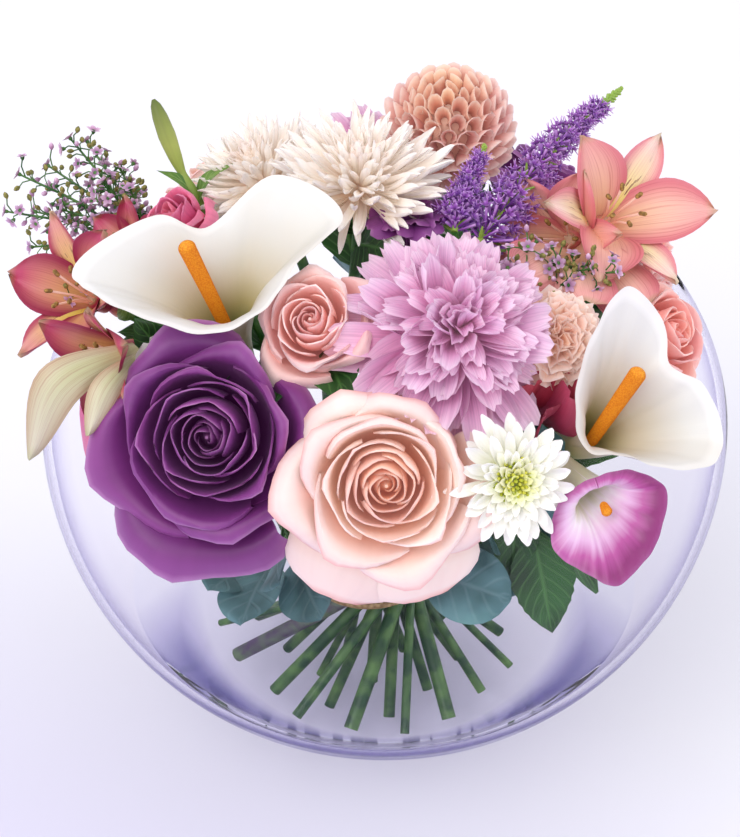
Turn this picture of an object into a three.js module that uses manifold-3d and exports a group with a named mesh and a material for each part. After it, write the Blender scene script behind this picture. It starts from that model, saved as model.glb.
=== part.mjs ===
// A floral table centerpiece: a hand-tied bouquet standing in a round glass bowl with a little water.
// Millimetres, +Z up. The origin is the middle of the bowl's flat foot. -Y is the front of the bouquet.
//
// Every bloom is one solid of petals on a stem of its own. The stems are spiralled, as a florist ties
// them: each one is a straight line of the same twisted bunch up to the tie, so no two of them meet,
// and above the tie it bends to its bloom.
import * as THREE from "three";
import { mergeVertices } from "three/addons/utils/BufferGeometryUtils.js";
import Module from "manifold-3d";

const wasm = await Module();
wasm.setup();

// ---------------------------------------------------------------------------------------------
// Driving dimensions
// ---------------------------------------------------------------------------------------------
const GAP = 0.3; // clearance between two pieces that touch

const BOWL = {
  radius: 127, // outside, at the widest place
  foot: 48, // radius of the flat foot
  shoulder: 96, // half height of the ellipse above the widest place
  rimHeight: 164, // height of the mouth above the table
  wall: 3.4,
  base: 8, // thickness of the glass under the water
};
const WATER_LEVEL = 42;
const BOWL_MIDDLE = Math.sqrt(BOWL.radius ** 2 - BOWL.foot ** 2); // height of the widest place

const WAIST = { x: -6, y: -12, z: 56 }; // middle of the bunch where it is tied
const TWIST = 0.072; // sideways run of a stem for each mm of height and each mm from the middle
const TIE = { height: 7, thickness: 1.8 };

const COLORS = {
  glass: { color: 0xdedcf0, roughness: 0.05, transparent: true, opacity: 0.35 },
  water: { color: 0xe2eaf4, roughness: 0.03, transparent: true, opacity: 0.35 },
  twine: { color: 0xb79a6b, roughness: 0.9 },
  purple: { color: 0x7a2f92, roughness: 0.6 },
  blush: { color: 0xf3cdbf, roughness: 0.6 },
  peach: { color: 0xf0a898, roughness: 0.6 },
  coral: { color: 0xf09a90, roughness: 0.6 },
  lilac: { color: 0xd9a0d0, roughness: 0.6 },
  white: { color: 0xf4efe6, roughness: 0.55 },
  cream: { color: 0xf3e2d8, roughness: 0.6 },
  orange: { color: 0xf0a020, roughness: 0.7 },
  magenta: { color: 0xb2509c, roughness: 0.55 },
  rosePink: { color: 0xd8607c, roughness: 0.55 },
  salmon: { color: 0xe9a0a0, roughness: 0.55 },
  violet: { color: 0x7b4fb5, roughness: 0.7 },
  waxflower: { color: 0xbc9cb4, roughness: 0.7 },
  eucalyptus: { color: 0x4c7270, roughness: 0.6 },
  bud: { color: 0xa3bd4a, roughness: 0.5 },
  green: { color: 0x4f7a3a, roughness: 0.6 },
};

// ---------------------------------------------------------------------------------------------
// Solids
// ---------------------------------------------------------------------------------------------
const V = (x, y, z) => new THREE.Vector3(x, y, z);
const radians = THREE.MathUtils.degToRad;

// A closed geometry as a solid, moved by a matrix.
function solid(geometry, matrix = new THREE.Matrix4()) {
  const bare = new THREE.BufferGeometry();
  bare.setAttribute("position", geometry.getAttribute("position").clone());
  bare.setIndex(geometry.index);
  bare.applyMatrix4(matrix);
  const merged = mergeVertices(bare, 1e-3);
  const index = merged.index.array;
  const kept = [];
  for (let i = 0; i < index.length; i += 3) {
    const [a, b, c] = [index[i], index[i + 1], index[i + 2]];
    if (a !== b && b !== c && c !== a) kept.push(a, b, c);
  }
  const mesh = new wasm.Mesh({
    numProp: 3,
    vertProperties: merged.attributes.position.array,
    triVerts: new Uint32Array(kept),
  });
  return new wasm.Manifold(mesh);
}

function fuse(solids) {
  return solids.reduce((whole, next) => whole.add(next));
}

function geometryOf(made) {
  const { vertProperties, triVerts } = made.getMesh();
  const geometry = new THREE.BufferGeometry();
  geometry.setAttribute("position", new THREE.BufferAttribute(vertProperties, 3));
  geometry.setIndex(new THREE.BufferAttribute(triVerts, 1));
  return geometry;
}

// A thin curved blade with sharp edges. surface(u, v) is its middle: u runs from root to tip, 0 to 1,
// and v across it, -1 to 1. Both faces are split into triangles alike.
function blade(surface, rows, columns, thickness) {
  const faces = [[], []];
  const step = 0.02;
  for (let i = 0; i <= rows; i++) {
    for (let j = 0; j <= columns; j++) {
      const u = i / rows;
      const v = (2 * j) / columns - 1;
      const p = surface(u, v);
      const along = surface(Math.min(u + step, 1), v).sub(surface(Math.max(u - step, 0), v));
      const across = surface(u, Math.min(v + step, 1)).sub(surface(u, Math.max(v - step, -1)));
      const edge = i === 0 || i === rows || j === 0 || j === columns;
      const offset = along.cross(across).normalize().multiplyScalar(edge ? 0 : thickness / 2);
      faces[0].push(p.clone().add(offset));
      faces[1].push(p.clone().sub(offset));
    }
  }
  const count = faces[0].length;
  const index = [];
  for (let i = 0; i < rows; i++) {
    for (let j = 0; j < columns; j++) {
      const a = i * (columns + 1) + j;
      const [b, c, d] = [a + 1, a + columns + 1, a + columns + 2];
      index.push(a, c, b, b, c, d);
      index.push(count + a, count + b, count + c, count + b, count + d, count + c);
    }
  }
  const geometry = new THREE.BufferGeometry().setFromPoints([...faces[0], ...faces[1]]);
  geometry.setIndex(index);
  return geometry;
}

// A blade as a solid, turned about Z.
function bladeSolid(surface, rows, columns, thickness, turn = 0) {
  return solid(blade(surface, rows, columns, thickness), new THREE.Matrix4().makeRotationZ(turn));
}

// A solid turned on a lathe from [radius, height] points that start and end on the axis.
function turned(points, segments = 8, matrix) {
  const profile = points.map(([r, z]) => new THREE.Vector2(r, z));
  const upright = new THREE.LatheGeometry(profile, segments);
  upright.deleteAttribute("normal");
  upright.deleteAttribute("uv");
  upright.rotateX(Math.PI / 2); // the lathe's axis from +Y to +Z
  return solid(upright, matrix);
}

// A tube of a few sides along a curve.
function tube(curve, radius, sides, steps) {
  const ring = Array.from({ length: sides }, (_, k) => {
    const angle = (2 * Math.PI * k) / sides;
    return new THREE.Vector2(radius * Math.cos(angle), radius * Math.sin(angle));
  });
  return solid(
    new THREE.ExtrudeGeometry(new THREE.Shape(ring), { steps, bevelEnabled: false, extrudePath: curve }),
  );
}

const bend = (...points) => new THREE.CatmullRomCurve3(points);

// ---------------------------------------------------------------------------------------------
// The bowl and the water
// ---------------------------------------------------------------------------------------------
// The bowl's wall is a sphere up to its widest place and a flatter ellipsoid above. Both are set in
// from the outside by a thickness.
const halfHeight = (z, inset) => (z < BOWL_MIDDLE ? BOWL.radius : BOWL.shoulder) - inset;
const wallAngle = (z, inset) => Math.asin((z - BOWL_MIDDLE) / halfHeight(z, inset));
const wallRadius = (z, inset) => (BOWL.radius - inset) * Math.cos(wallAngle(z, inset));

function bowlWall(inset, from, to, steps) {
  const [start, end] = [wallAngle(from, inset), wallAngle(to, inset)];
  return Array.from({ length: steps + 1 }, (_, k) => {
    const angle = start + ((end - start) * k) / steps;
    const half = halfHeight(angle < 0 ? 0 : BOWL.rimHeight, inset);
    return [(BOWL.radius - inset) * Math.cos(angle), BOWL_MIDDLE + half * Math.sin(angle)];
  });
}

const BOWL_SIDES = 24;
function bowl() {
  const outside = bowlWall(0, 0, BOWL.rimHeight, 7);
  const wet = bowlWall(BOWL.wall, BOWL.base, WATER_LEVEL, 2);
  const dry = bowlWall(BOWL.wall, WATER_LEVEL, BOWL.rimHeight, 5).slice(1);
  return turned([[0, 0], ...outside, ...[...wet, ...dry].reverse(), [0, BOWL.base]], BOWL_SIDES);
}

// The water's side is faceted as the glass is, a little inside it.
const WATER_SLACK = 0.5;
const FACET_SLACK = 1.2; // how far the facets of the glass lie inside its true curve
function water(holes) {
  const floor = BOWL.base + GAP;
  const side = bowlWall(BOWL.wall + WATER_SLACK, floor, WATER_LEVEL, 2);
  const body = turned([[0, floor], ...side, [0, WATER_LEVEL]], BOWL_SIDES);
  return holes.reduce((left, hole) => left.subtract(hole), body);
}

// ---------------------------------------------------------------------------------------------
// Blooms, each with its seat at the origin and facing +Z
// ---------------------------------------------------------------------------------------------
// A rose: rings of cupped petals round a bud. Each petal's right edge lies outside its neighbour's
// left one, so the petals of a ring overlap and don't cross.
function rosePetal(bulge, lip, height, spread) {
  const profile = new THREE.CubicBezierCurve(
    new THREE.Vector2(2.5, 1),
    new THREE.Vector2(bulge * 0.95, height * 0.1),
    new THREE.Vector2(bulge * 1.12, height * 0.75),
    new THREE.Vector2(lip, height),
  );
  return (u, v) => {
    const p = profile.getPoint(u);
    const angle = v * spread * (0.5 + 0.5 * Math.sin(Math.PI * Math.min(0.55, u * 0.75)));
    const radius = p.x + v * 1.7 * u;
    const lowered = height * 0.13 * u * u * v * v;
    return V(radius * Math.cos(angle), radius * Math.sin(angle), p.y - lowered);
  };
}

// rings: [bulge and lip as shares of the reach, height as a share of the depth, petals, turn in petals]
function rose(reach, depth, rings) {
  const bud = [[0, 0], [6.5, 0], [7.5, depth * 0.2], [reach * 0.16, depth * 0.8], [0, depth * 0.96]];
  const parts = [turned(bud, 6)];
  for (const [bulge, lip, height, count, turn] of rings) {
    const columns = count > 3 ? 3 : 2;
    for (let k = 0; k < count; k++) {
      const petal = rosePetal(reach * bulge, reach * lip, depth * height, (Math.PI / count) * 1.12);
      parts.push(bladeSolid(petal, 3, columns, 1.3, (2 * Math.PI * (k + turn)) / count));
    }
  }
  return fuse(parts);
}

const FULL_ROSE = [
  [0.34, 0.24, 1, 3, 0],
  [0.54, 0.48, 0.99, 3, 0.5],
  [0.72, 0.76, 0.92, 4, 0.1],
  [0.82, 1, 0.74, 5, 0.6],
];
const CUPPED_ROSE = [
  [0.44, 0.32, 1, 3, 0],
  [0.68, 0.66, 0.97, 3, 0.5],
  [0.86, 1, 0.82, 4, 0.1],
];

// One strap-shaped floret of a chrysanthemum: it leaves the disc at an angle and curves up.
function ray(length, width, climb, droop) {
  return (u, v) => {
    const half = (width / 2) * (0.25 + 0.75 * Math.sin((Math.PI / 2) * u));
    const along = 2 + (length - 2) * (u - 0.16 * u * u * v * v);
    const rise = 2 + along * Math.sin(climb) - droop * u * u;
    return V(along * Math.cos(climb), v * half, rise + 0.3 * half * v * v);
  };
}

// rings: [florets, length, width, climb in degrees, droop, turn in florets]
function daisy(core, rings) {
  const parts = [turned([[0, 0], [core, 0], [core * 1.1, core * 0.8], [0, core * 1.4]], 6)];
  for (const [count, length, width, climb, droop, turn] of rings) {
    for (let k = 0; k < count; k++) {
      const floret = ray(length, width, radians(climb), droop);
      parts.push(bladeSolid(floret, 2, 2, 1.1, (2 * Math.PI * (k + turn)) / count));
    }
  }
  return fuse(parts);
}

// The rings of a many-layered chrysanthemum, from its flat outer florets to its nearly upright inner
// ones. share thins the florets of each ring alike.
const layered = (reach, width, share = 1) => [
  [Math.round(12 * share), reach, width, 2, reach * 0.12, 0],
  [Math.round(10 * share), reach * 0.95, width, 27, 1, 0.5],
  [Math.round(8 * share), reach * 0.82, width * 0.9, 50, 0, 0.2],
  [Math.round(5 * share), reach * 0.62, width * 0.8, 72, 0, 0.6],
];

// A closed skin over rings of points, with its ends drawn in to a point each. Where rings and columns
// alternate, one point stands out as a petal's tip and the next lies in between.
function studded(rings, columns, foot, tip, place) {
  const points = rings.flatMap((ring, i) => {
    return Array.from({ length: columns }, (_, j) => ring(j, (i + j) % 2 === 0));
  });
  const [start, end] = [points.length, points.length + 1];
  const last = (rings.length - 1) * columns;
  const index = [];
  for (let j = 0; j < columns; j++) {
    const k = (j + 1) % columns;
    index.push(start, k, j, end, last + j, last + k);
    for (let i = 0; i < rings.length - 1; i++) {
      const [a, b] = [i * columns + j, i * columns + k];
      const [c, d] = [a + columns, b + columns];
      // The crease runs between the two points that stand out.
      if ((i + j) % 2 === 0) index.push(a, b, d, a, d, c);
      else index.push(a, b, c, b, d, c);
    }
  }
  const geometry = new THREE.BufferGeometry().setFromPoints([...points, foot, tip]);
  geometry.setIndex(index);
  return solid(geometry, place);
}

// A ball of short cupped petals in staggered rows.
function ballBloom(reach) {
  const middle = reach * 0.92;
  const rows = 8;
  const rings = Array.from({ length: rows }, (_, i) => (j, out) => {
    const climb = -1.15 + (2.55 * i) / (rows - 1);
    const radius = reach * (out ? 1 : 0.74);
    const angle = (2 * Math.PI * j) / 16;
    const flat = radius * Math.cos(climb);
    return V(flat * Math.cos(angle), flat * Math.sin(angle), middle + radius * Math.sin(climb));
  });
  return studded(rings, 16, V(0, 0, 0), V(0, 0, middle + reach * 0.8));
}

// A carnation: fans with a toothed, ruffled edge.
function carnation(reach, depth) {
  const parts = [turned([[0, 0], [4.5, 0], [6, depth * 0.5], [0, depth * 0.8]], 6)];
  for (const [count, share, climb, turn] of [[5, 1, 14, 0], [3, 0.85, 52, 0.4]]) {
    for (let k = 0; k < count; k++) {
      const petal = (u, v) => {
        const ruffle = u * u * reach * 0.13 * Math.cos(2 * Math.PI * v);
        const radius = 1 + (reach * share - 1) * u * (1 - 0.1 * u * Math.cos(2 * Math.PI * v));
        const angle = v * (Math.PI / count) * 0.9;
        const rise = radius * Math.sin(radians(climb)) + ruffle + depth * 0.35;
        const flat = radius * Math.cos(radians(climb));
        return V(flat * Math.cos(angle), flat * Math.sin(angle), rise);
      };
      parts.push(bladeSolid(petal, 2, 4, 1.2, (2 * Math.PI * (k + turn)) / count));
    }
  }
  return fuse(parts);
}

// A six-tepalled trumpet, with stamens in its throat.
function trumpet(reach, throat) {
  const tepals = 6;
  const parts = [turned([[0, 0], [4, 0], [4.6, 6], [0, 9]], 6)];
  for (let k = 0; k < tepals; k++) {
    const inner = k % 2;
    const profile = new THREE.CubicBezierCurve(
      new THREE.Vector2(1.5, 1),
      new THREE.Vector2(reach * 0.18, throat),
      new THREE.Vector2(reach * 0.6, throat * 1.25),
      new THREE.Vector2(reach * (inner ? 0.92 : 1), throat * (inner ? 1.1 : 0.8)),
    );
    const width = reach * (inner ? 0.17 : 0.23);
    const tepal = (u, v) => {
      const p = profile.getPoint(u);
      const half = width * Math.pow(Math.sin(Math.PI * (0.1 + 0.9 * u)), 0.7);
      return V(p.x, v * half, p.y + 0.25 * half * v * v);
    };
    parts.push(bladeSolid(tepal, 3, 2, 1.2, (2 * Math.PI * k) / tepals));
  }
  for (let k = 0; k < 3; k++) {
    const lean = V(0.25, 0, 1).applyAxisAngle(V(0, 0, 1), (2 * Math.PI * (k + 0.25)) / 3);
    const stamen = new THREE.ConeGeometry(0.9, throat * 1.1, 3).rotateX(Math.PI / 2);
    stamen.translate(0, 0, throat * 0.55);
    parts.push(solid(stamen, standing(V(0, 0, 6), lean)));
  }
  return fuse(parts);
}

// A calla's spathe: a sheet wrapped to a funnel. The middle of its throat is the origin. rim is its
// lip's outline, a closed curve, and base is the middle of its narrow lower end. The sheet gets its
// thickness along its own normal, inwards.
const SPATHE = { around: 16, along: 4, thickness: 1.2 };
function spathe(rim, throat, base) {
  const { around, along, thickness } = SPATHE;
  const lip = new THREE.CatmullRomCurve3(rim, true);
  const axis = base.clone().negate().normalize();
  const sides = Array.from({ length: around }, (_, j) => {
    const edge = lip.getPoint(j / around);
    const rise = axis.clone().multiplyScalar(edge.dot(axis));
    const away = edge.clone().sub(rise);
    const outward = away.clone().normalize();
    const start = outward.clone().multiplyScalar(throat * 0.75).add(base);
    const flare = away.multiplyScalar(0.55).addScaledVector(rise, 0.42);
    return new THREE.CubicBezierCurve3(start, outward.multiplyScalar(throat), flare, edge);
  });
  const at = (i, j) => sides[(j + around) % around].getPoint(i / along);
  const outer = [];
  const inner = [];
  for (let i = 0; i <= along; i++) {
    for (let j = 0; j < around; j++) {
      const across = at(i, j + 1).sub(at(i, j - 1));
      const up = sides[j].getTangent(i / along);
      outer.push(at(i, j));
      if (i > 0 && i < along) inner.push(at(i, j).addScaledVector(across.cross(up).normalize(), thickness));
    }
  }
  const points = [...outer, ...inner, base.clone(), base.clone().multiplyScalar(0.5)];
  const [floor, well] = [points.length - 2, points.length - 1];
  const index = [];
  const quad = (a, b, c, d) => index.push(a, c, b, b, c, d);
  for (let j = 0; j < around; j++) {
    const k = (j + 1) % around;
    for (let i = 0; i < along; i++) {
      const [low, high] = [i * around, (i + 1) * around];
      quad(low + j, low + k, high + j, high + k);
    }
    for (let i = 0; i < along - 2; i++) {
      const [low, high] = [outer.length + i * around, outer.length + (i + 1) * around];
      quad(low + k, low + j, high + k, high + j);
    }
    const last = outer.length + (along - 2) * around;
    quad(last + k, last + j, along * around + k, along * around + j);
    index.push(floor, j, k, well, outer.length + k, outer.length + j);
  }
  const geometry = new THREE.BufferGeometry().setFromPoints(points);
  geometry.setIndex(index);
  return solid(geometry);
}

// Moves what stands on the origin along +Z to a place, along a direction.
function standing(at, direction) {
  const turn = new THREE.Quaternion().setFromUnitVectors(V(0, 0, 1), direction.clone().normalize());
  return new THREE.Matrix4().compose(at, turn, V(1, 1, 1));
}

// A club-shaped spadix, slim where it stands in the throat.
function spadix(from, to, radius) {
  const along = to.clone().sub(from);
  const length = along.length();
  const profile = [
    [0, 0], [radius * 0.5, 0], [radius, length * 0.4], [radius * 0.8, length * 0.93], [0, length],
  ];
  return turned(profile, 7, standing(from, along));
}

// A spike of small florets along a curve, longest at its foot.
function spike(curve, rows, reach) {
  const columns = 8;
  const rings = Array.from({ length: rows }, (_, i) => (j, out) => {
    const t = 0.04 + (0.9 * i) / (rows - 1);
    const heading = curve.getTangentAt(t);
    const outward = V(0, 0, 1).cross(heading).normalize();
    outward.applyAxisAngle(heading, (2 * Math.PI * j) / columns);
    const radius = reach * (1 - 0.75 * t) * (out ? 1 : 0.4);
    return curve.getPointAt(t).addScaledVector(outward, radius).addScaledVector(heading, out ? 2.5 : 0);
  });
  return studded(rings, columns, curve.getPointAt(0), curve.getPointAt(1));
}

// Twigs that fork from one place, each swelling into small buds along its outer half.
const BEADS = [0.9, 0.8, 2.3, 0.8, 2.2];
function spray(fork, tips) {
  const sides = 4;
  const parts = [solid(new THREE.OctahedronGeometry(3), new THREE.Matrix4().setPosition(fork))];
  for (const tip of tips) {
    const curve = bend(fork, fork.clone().lerp(tip, 0.5).add(V(0, 0, 4)), tip);
    const rings = BEADS.map((radius, i) => (j) => {
      const t = 0.1 + (0.82 * i) / (BEADS.length - 1);
      const heading = curve.getTangentAt(t);
      const outward = V(0, 0, 1).cross(heading).normalize();
      outward.applyAxisAngle(heading, (2 * Math.PI * (j + (i % 2) / 2)) / sides);
      return curve.getPointAt(t).addScaledVector(outward, radius);
    });
    parts.push(studded(rings, sides, fork, tip));
  }
  return fuse(parts);
}

// ---------------------------------------------------------------------------------------------
// Leaves
// ---------------------------------------------------------------------------------------------
// Half widths of the leaves' outlines at u, 0 at the stalk to 1 at the tip.
const ROUND = (u) => Math.sqrt(Math.max(0, 1 - (2 * u - 1) ** 2));
const TOOTHED = (u) => Math.sin(Math.PI * u ** 0.75) * (u * 7 % 1 < 0.5 ? 1 : 0.86);

// A leaf from its stalk to its tip, whose upper face looks towards up.
function leaf(from, to, up, width, outline, rows = 4) {
  const along = to.clone().sub(from);
  const length = along.length();
  const across = along.clone().cross(up).normalize();
  const face = across.clone().cross(along).normalize();
  const surface = (u, v) => {
    const half = Math.max(0.5, (width / 2) * outline(u));
    const arch = 0.1 * length * (1 - (2 * u - 1) ** 2) + 0.18 * half * v * v;
    const p = from.clone().addScaledVector(along, u);
    return p.addScaledVector(across, half * v).addScaledVector(face, arch);
  };
  return solid(blade(surface, rows, 2, 1.2));
}

// ---------------------------------------------------------------------------------------------
// Stems
// ---------------------------------------------------------------------------------------------
// The way that a bloom faces. azimuth turns from the front (-Y) towards +X; climb is above level.
function facing(azimuth, climb) {
  const [a, c] = [radians(azimuth), radians(climb)];
  return V(Math.sin(a) * Math.cos(c), -Math.cos(a) * Math.cos(c), Math.sin(c));
}

// Straight through the tie, then bending to the bloom.
const STEM_STEPS = 6;
class StemPath extends THREE.Curve {
  constructor(foot, waist, heading, top, arrive) {
    super();
    const reach = waist.distanceTo(top);
    this.below = new THREE.LineCurve3(foot, waist);
    this.above = new THREE.CubicBezierCurve3(
      waist,
      waist.clone().addScaledVector(heading, reach * 0.4),
      top.clone().addScaledVector(arrive, -reach * 0.28),
      top,
    );
    this.share = 1 / STEM_STEPS; // one step lies below the tie
  }
  getUtoTmapping(u) {
    return u; // steps are even in the parameter, so that one ends at the tie
  }
  getPoint(t) {
    if (t < this.share) return this.below.getPoint(t / this.share);
    return this.above.getPoint((t - this.share) / (1 - this.share));
  }
}

// Where each stem crosses the tie: below its bloom, turned back by the twist. The bunch starts loose
// and is drawn together until the stems lie side by side.
const LOOSE = 2;
function packWaist(stems) {
  const spots = stems.map(({ top }) => {
    const turn = TWIST * (top.z - WAIST.z);
    const spot = new THREE.Vector2(top.x - WAIST.x, top.y - WAIST.y);
    spot.rotateAround(new THREE.Vector2(), -Math.atan(turn));
    return spot.multiplyScalar(LOOSE / Math.hypot(1, turn));
  });
  for (let round = 0; round < 3000; round++) {
    spots.forEach((a, i) => {
      spots.slice(i + 1).forEach((b, j) => {
        const apart = stems[i].radius + stems[i + 1 + j].radius + 1.85;
        const between = b.clone().sub(a);
        const short = apart - between.length();
        if (short <= 0) return;
        between.setLength(short / 2);
        a.sub(between);
        b.add(between);
      });
      a.multiplyScalar(0.999);
    });
  }
  return spots;
}

// The straight line of a stem through its place in the tie.
function stemLine(spot) {
  const waist = V(WAIST.x + spot.x, WAIST.y + spot.y, WAIST.z);
  const slope = V(-TWIST * spot.y, TWIST * spot.x, 1);
  const at = (z) => waist.clone().addScaledVector(slope, z - WAIST.z);
  return { waist, heading: slope.clone().normalize(), at };
}

// The lowest height at which a stem's cut end still clears the inside of the bowl.
function footHeight(line, radius) {
  const lean = Math.acos(line.heading.z);
  const drop = radius * Math.sin(lean);
  for (let z = BOWL.base + drop + GAP; z < 40; z += 0.1) {
    const end = line.at(z);
    const out = Math.hypot(end.x, end.y) + radius * Math.cos(lean);
    if (out < wallRadius(z - drop, BOWL.wall) - FACET_SLACK - GAP) return z;
  }
  throw new Error("a stem has no foot in the bowl");
}

// ---------------------------------------------------------------------------------------------
// The bouquet
// ---------------------------------------------------------------------------------------------
const centerpiece = new THREE.Group();

function add(name, made, look, place = new THREE.Matrix4()) {
  const mesh = new THREE.Mesh(geometryOf(made), new THREE.MeshStandardMaterial(COLORS[look]));
  mesh.name = name;
  mesh.applyMatrix4(place);
  centerpiece.add(mesh);
}

// Round blooms. heart is the middle of the face, and depth runs from there down to the seat on the
// stem. cup is the radius of the green calyx. leaves: where on the stem, 0 foot to 1 top, and the tip.
const BLOOMS = [
  {
    name: "rose_purple", look: "purple",
    heart: V(-59, -119, 195), face: [-10, 30], depth: 36, stem: 2.9, cup: 6,
    petals: rose(34, 36, FULL_ROSE),
    leaves: [[5, V(-84, -52, 168)]],
  },
  {
    name: "rose_blush", look: "blush",
    heart: V(0, -139, 190), face: [2, 26], depth: 34, stem: 2.9, cup: 6,
    petals: rose(30, 34, FULL_ROSE),
  },
  {
    name: "rose_peach", look: "peach",
    heart: V(-25.5, -90.5, 224), face: [-10, 48], depth: 27, stem: 2.6, cup: 6,
    petals: rose(17, 27, CUPPED_ROSE),
  },
  {
    name: "rose_coral", look: "coral",
    heart: V(101, -62, 200), face: [64, 34], depth: 26, stem: 2.6, cup: 6,
    petals: rose(18, 26, CUPPED_ROSE),
  },
  {
    name: "rose_purple_back", look: "purple",
    heart: V(65, 65, 191), face: [135, 53], depth: 28, stem: 2.9, cup: 6,
    petals: rose(30, 28, CUPPED_ROSE),
    leaves: [[5, V(98, 44, 172)]],
  },
  {
    name: "rose_blush_back", look: "blush",
    heart: V(-65, 65, 191), face: [-135, 53], depth: 28, stem: 2.9, cup: 6,
    petals: rose(30, 28, CUPPED_ROSE),
    leaves: [[5, V(-98, 44, 172)]],
  },
  {
    name: "mum_lilac", look: "lilac",
    heart: V(23.5, -91, 221), face: [14, 53], depth: 13, stem: 2.3, cup: 5,
    petals: daisy(6, layered(31, 10, 0.84)),
  },
  {
    name: "mum_lilac_back", look: "lilac",
    heart: V(0, 72, 193), face: [180, 50], depth: 13, stem: 2.3, cup: 5,
    petals: daisy(6, layered(29, 13, 0.58)),
  },
  {
    name: "mum_white", look: "white",
    heart: V(42, -131, 186), face: [16, 24], depth: 9, stem: 1.8, cup: 3.5,
    petals: daisy(4, [[10, 15, 5, 4, 0, 0], [7, 12, 4.4, 36, 0, 0.5]]),
  },
  {
    name: "spider_white_right", look: "cream",
    heart: V(-9, -22, 242), face: [0, 82], depth: 15, stem: 2.2, cup: 5,
    petals: daisy(5, layered(28, 7.5, 0.68)),
  },
  {
    name: "spider_white_left", look: "cream",
    heart: V(-48, 4, 228), face: [-80, 66], depth: 15, stem: 2.2, cup: 5,
    petals: daisy(5, layered(24, 7, 0.65)),
  },
  {
    name: "ball_peach", look: "peach",
    heart: V(21, 14, 252), face: [-20, 80], depth: 39, stem: 2.4, cup: 5,
    petals: ballBloom(22),
  },
  {
    name: "alstroemeria_right", look: "salmon",
    heart: V(80, -36, 231), face: [46, 46], depth: 24, stem: 2.2, cup: 3.5,
    petals: trumpet(32, 24),
    leaves: [[5, V(84, -4, 200)]],
  },
  {
    name: "alstroemeria_left", look: "rosePink",
    heart: V(-110, -48, 207), face: [-72, 34], depth: 24, stem: 2.2, cup: 3.5,
    petals: trumpet(27, 24),
  },
  {
    name: "alstroemeria_low", look: "rosePink",
    heart: V(-101, -86, 194), face: [-55, 5], depth: 24, stem: 2.2, cup: 3.5,
    petals: trumpet(24, 24),
  },
  {
    name: "carnation_peach", look: "peach",
    heart: V(59, -84, 212), face: [30, 42], depth: 14, stem: 2.2, cup: 4.5,
    petals: carnation(16, 14),
  },
  {
    name: "carnation_coral", look: "coral",
    heart: V(96, 16, 188), face: [100, 34], depth: 16, stem: 2.2, cup: 4.5,
    petals: carnation(22, 16),
  },
  {
    name: "tulip_pink", look: "rosePink",
    heart: V(-77, -24, 224), face: [-62, 54], depth: 24, stem: 2.4, cup: 4,
    petals: rose(12, 24, [[1, 0.8, 1, 5, 0]]),
  },
];

// Callas, set about the middle of the throat.
const CALLAS = [
  {
    name: "calla_left", look: "white",
    throat: V(-54, -74, 214), base: V(5, 11, -27), radius: 6.5, stem: 3.2,
    rim: [
      V(-46, -8, 23), V(-19, 12, 30), V(-6, 15, 23), V(17, 24, 38), V(38, 12, 32),
      V(24, -4, 22), V(14, -17, 13), V(-4, -23, 10), V(-26, -21, 15), V(-42, -16, 20),
    ],
    spadix: [V(1.9, 4.2, -11.6), V(-11, -5, 30)],
  },
  {
    name: "calla_right", look: "white",
    throat: V(68.5, -99, 177), base: V(-9, 19, -12.4), radius: 6, stem: 3.1,
    rim: [
      V(-3, -11, 10), V(-5, -6, 25), V(-1, 4, 44), V(9, 10, 56), V(20, 10, 44),
      V(23, 4, 30), V(34, 0, 25), V(40, -8, 13), V(36, -18, 9), V(20, -23, 11), V(7, -18, 11),
    ],
    spadix: [V(-1.4, 3.4, -1.2), V(13, -4, 34)],
  },
  {
    name: "calla_magenta", look: "magenta",
    throat: V(70, -121, 171), base: V(-14, 24, -1), radius: 5.5, stem: 2.8,
    rim: [
      V(-2, 0, 9), V(10, 2, 10), V(20, 0, 6), V(18, -10, -3),
      V(10, -20, -11), V(-1, -25, -15), V(-11, -14, -4), V(-13, -3, 4),
    ],
    spadix: [V(0, 0, 0), V(4, -14, -2)],
    leaves: [[4, V(74, -86, 104)]],
  },
];

// Leafy stems: how high they run, and a leaf from there to each tip.
const LEAFY = [
  {
    name: "eucalyptus_right", hue: "eucalyptus", top: V(34, -78, 131), stem: 1.5,
    leaves: [[3, V(26, -99, 104), 28], [5, V(44, -99, 126), 22], [6, V(32, -106, 150), 22]],
  },
  {
    name: "eucalyptus_left", hue: "eucalyptus", top: V(-40, -66, 132), stem: 1.8,
    leaves: [[4, V(-50, -96, 98), 26], [5, V(-22, -100, 104), 24], [6, V(-72, -76, 150), 24]],
  },
  {
    name: "eucalyptus_back", hue: "eucalyptus", top: V(8, 66, 158), stem: 1.8,
    leaves: [[5, V(-36, 90, 160), 26], [5, V(42, 88, 160), 26], [6, V(8, 104, 156), 26]],
  },
];

// Sprays of waxflower: how high the stem runs, and the twigs' tips.
const SPRAYS = [
  {
    name: "waxflower_left", hue: "waxflower", top: V(-84, 6, 184), stem: 1.6,
    tips: [
      V(-126, 18, 196), V(-121, 25, 211), V(-107, 30, 218), V(-95, 22, 212), V(-114, 3, 206),
    ],
  },
  {
    name: "waxflower_right", hue: "waxflower", top: V(46, -46, 198), stem: 1.6,
    tips: [V(57, -57, 222), V(68, -60, 222), V(40, -66, 226), V(47, -55, 227)],
  },
];

// Two spikes of veronica on one stem, from foot to tip.
const VERONICA = {
  name: "veronica", top: V(26, -44, 210), stem: 2,
  spikes: [
    [V(31, -44, 222), V(58, -5, 236), V(84, 30, 240)],
    [V(23, -42, 225), V(27, -28, 234), V(34, -12, 241)],
  ],
};

// A closed lily bud.
const BUD = { name: "lily_bud", hue: "bud", top: V(-66, -4, 214), stem: 2, tip: V(-82, 13, 242) };

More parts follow.
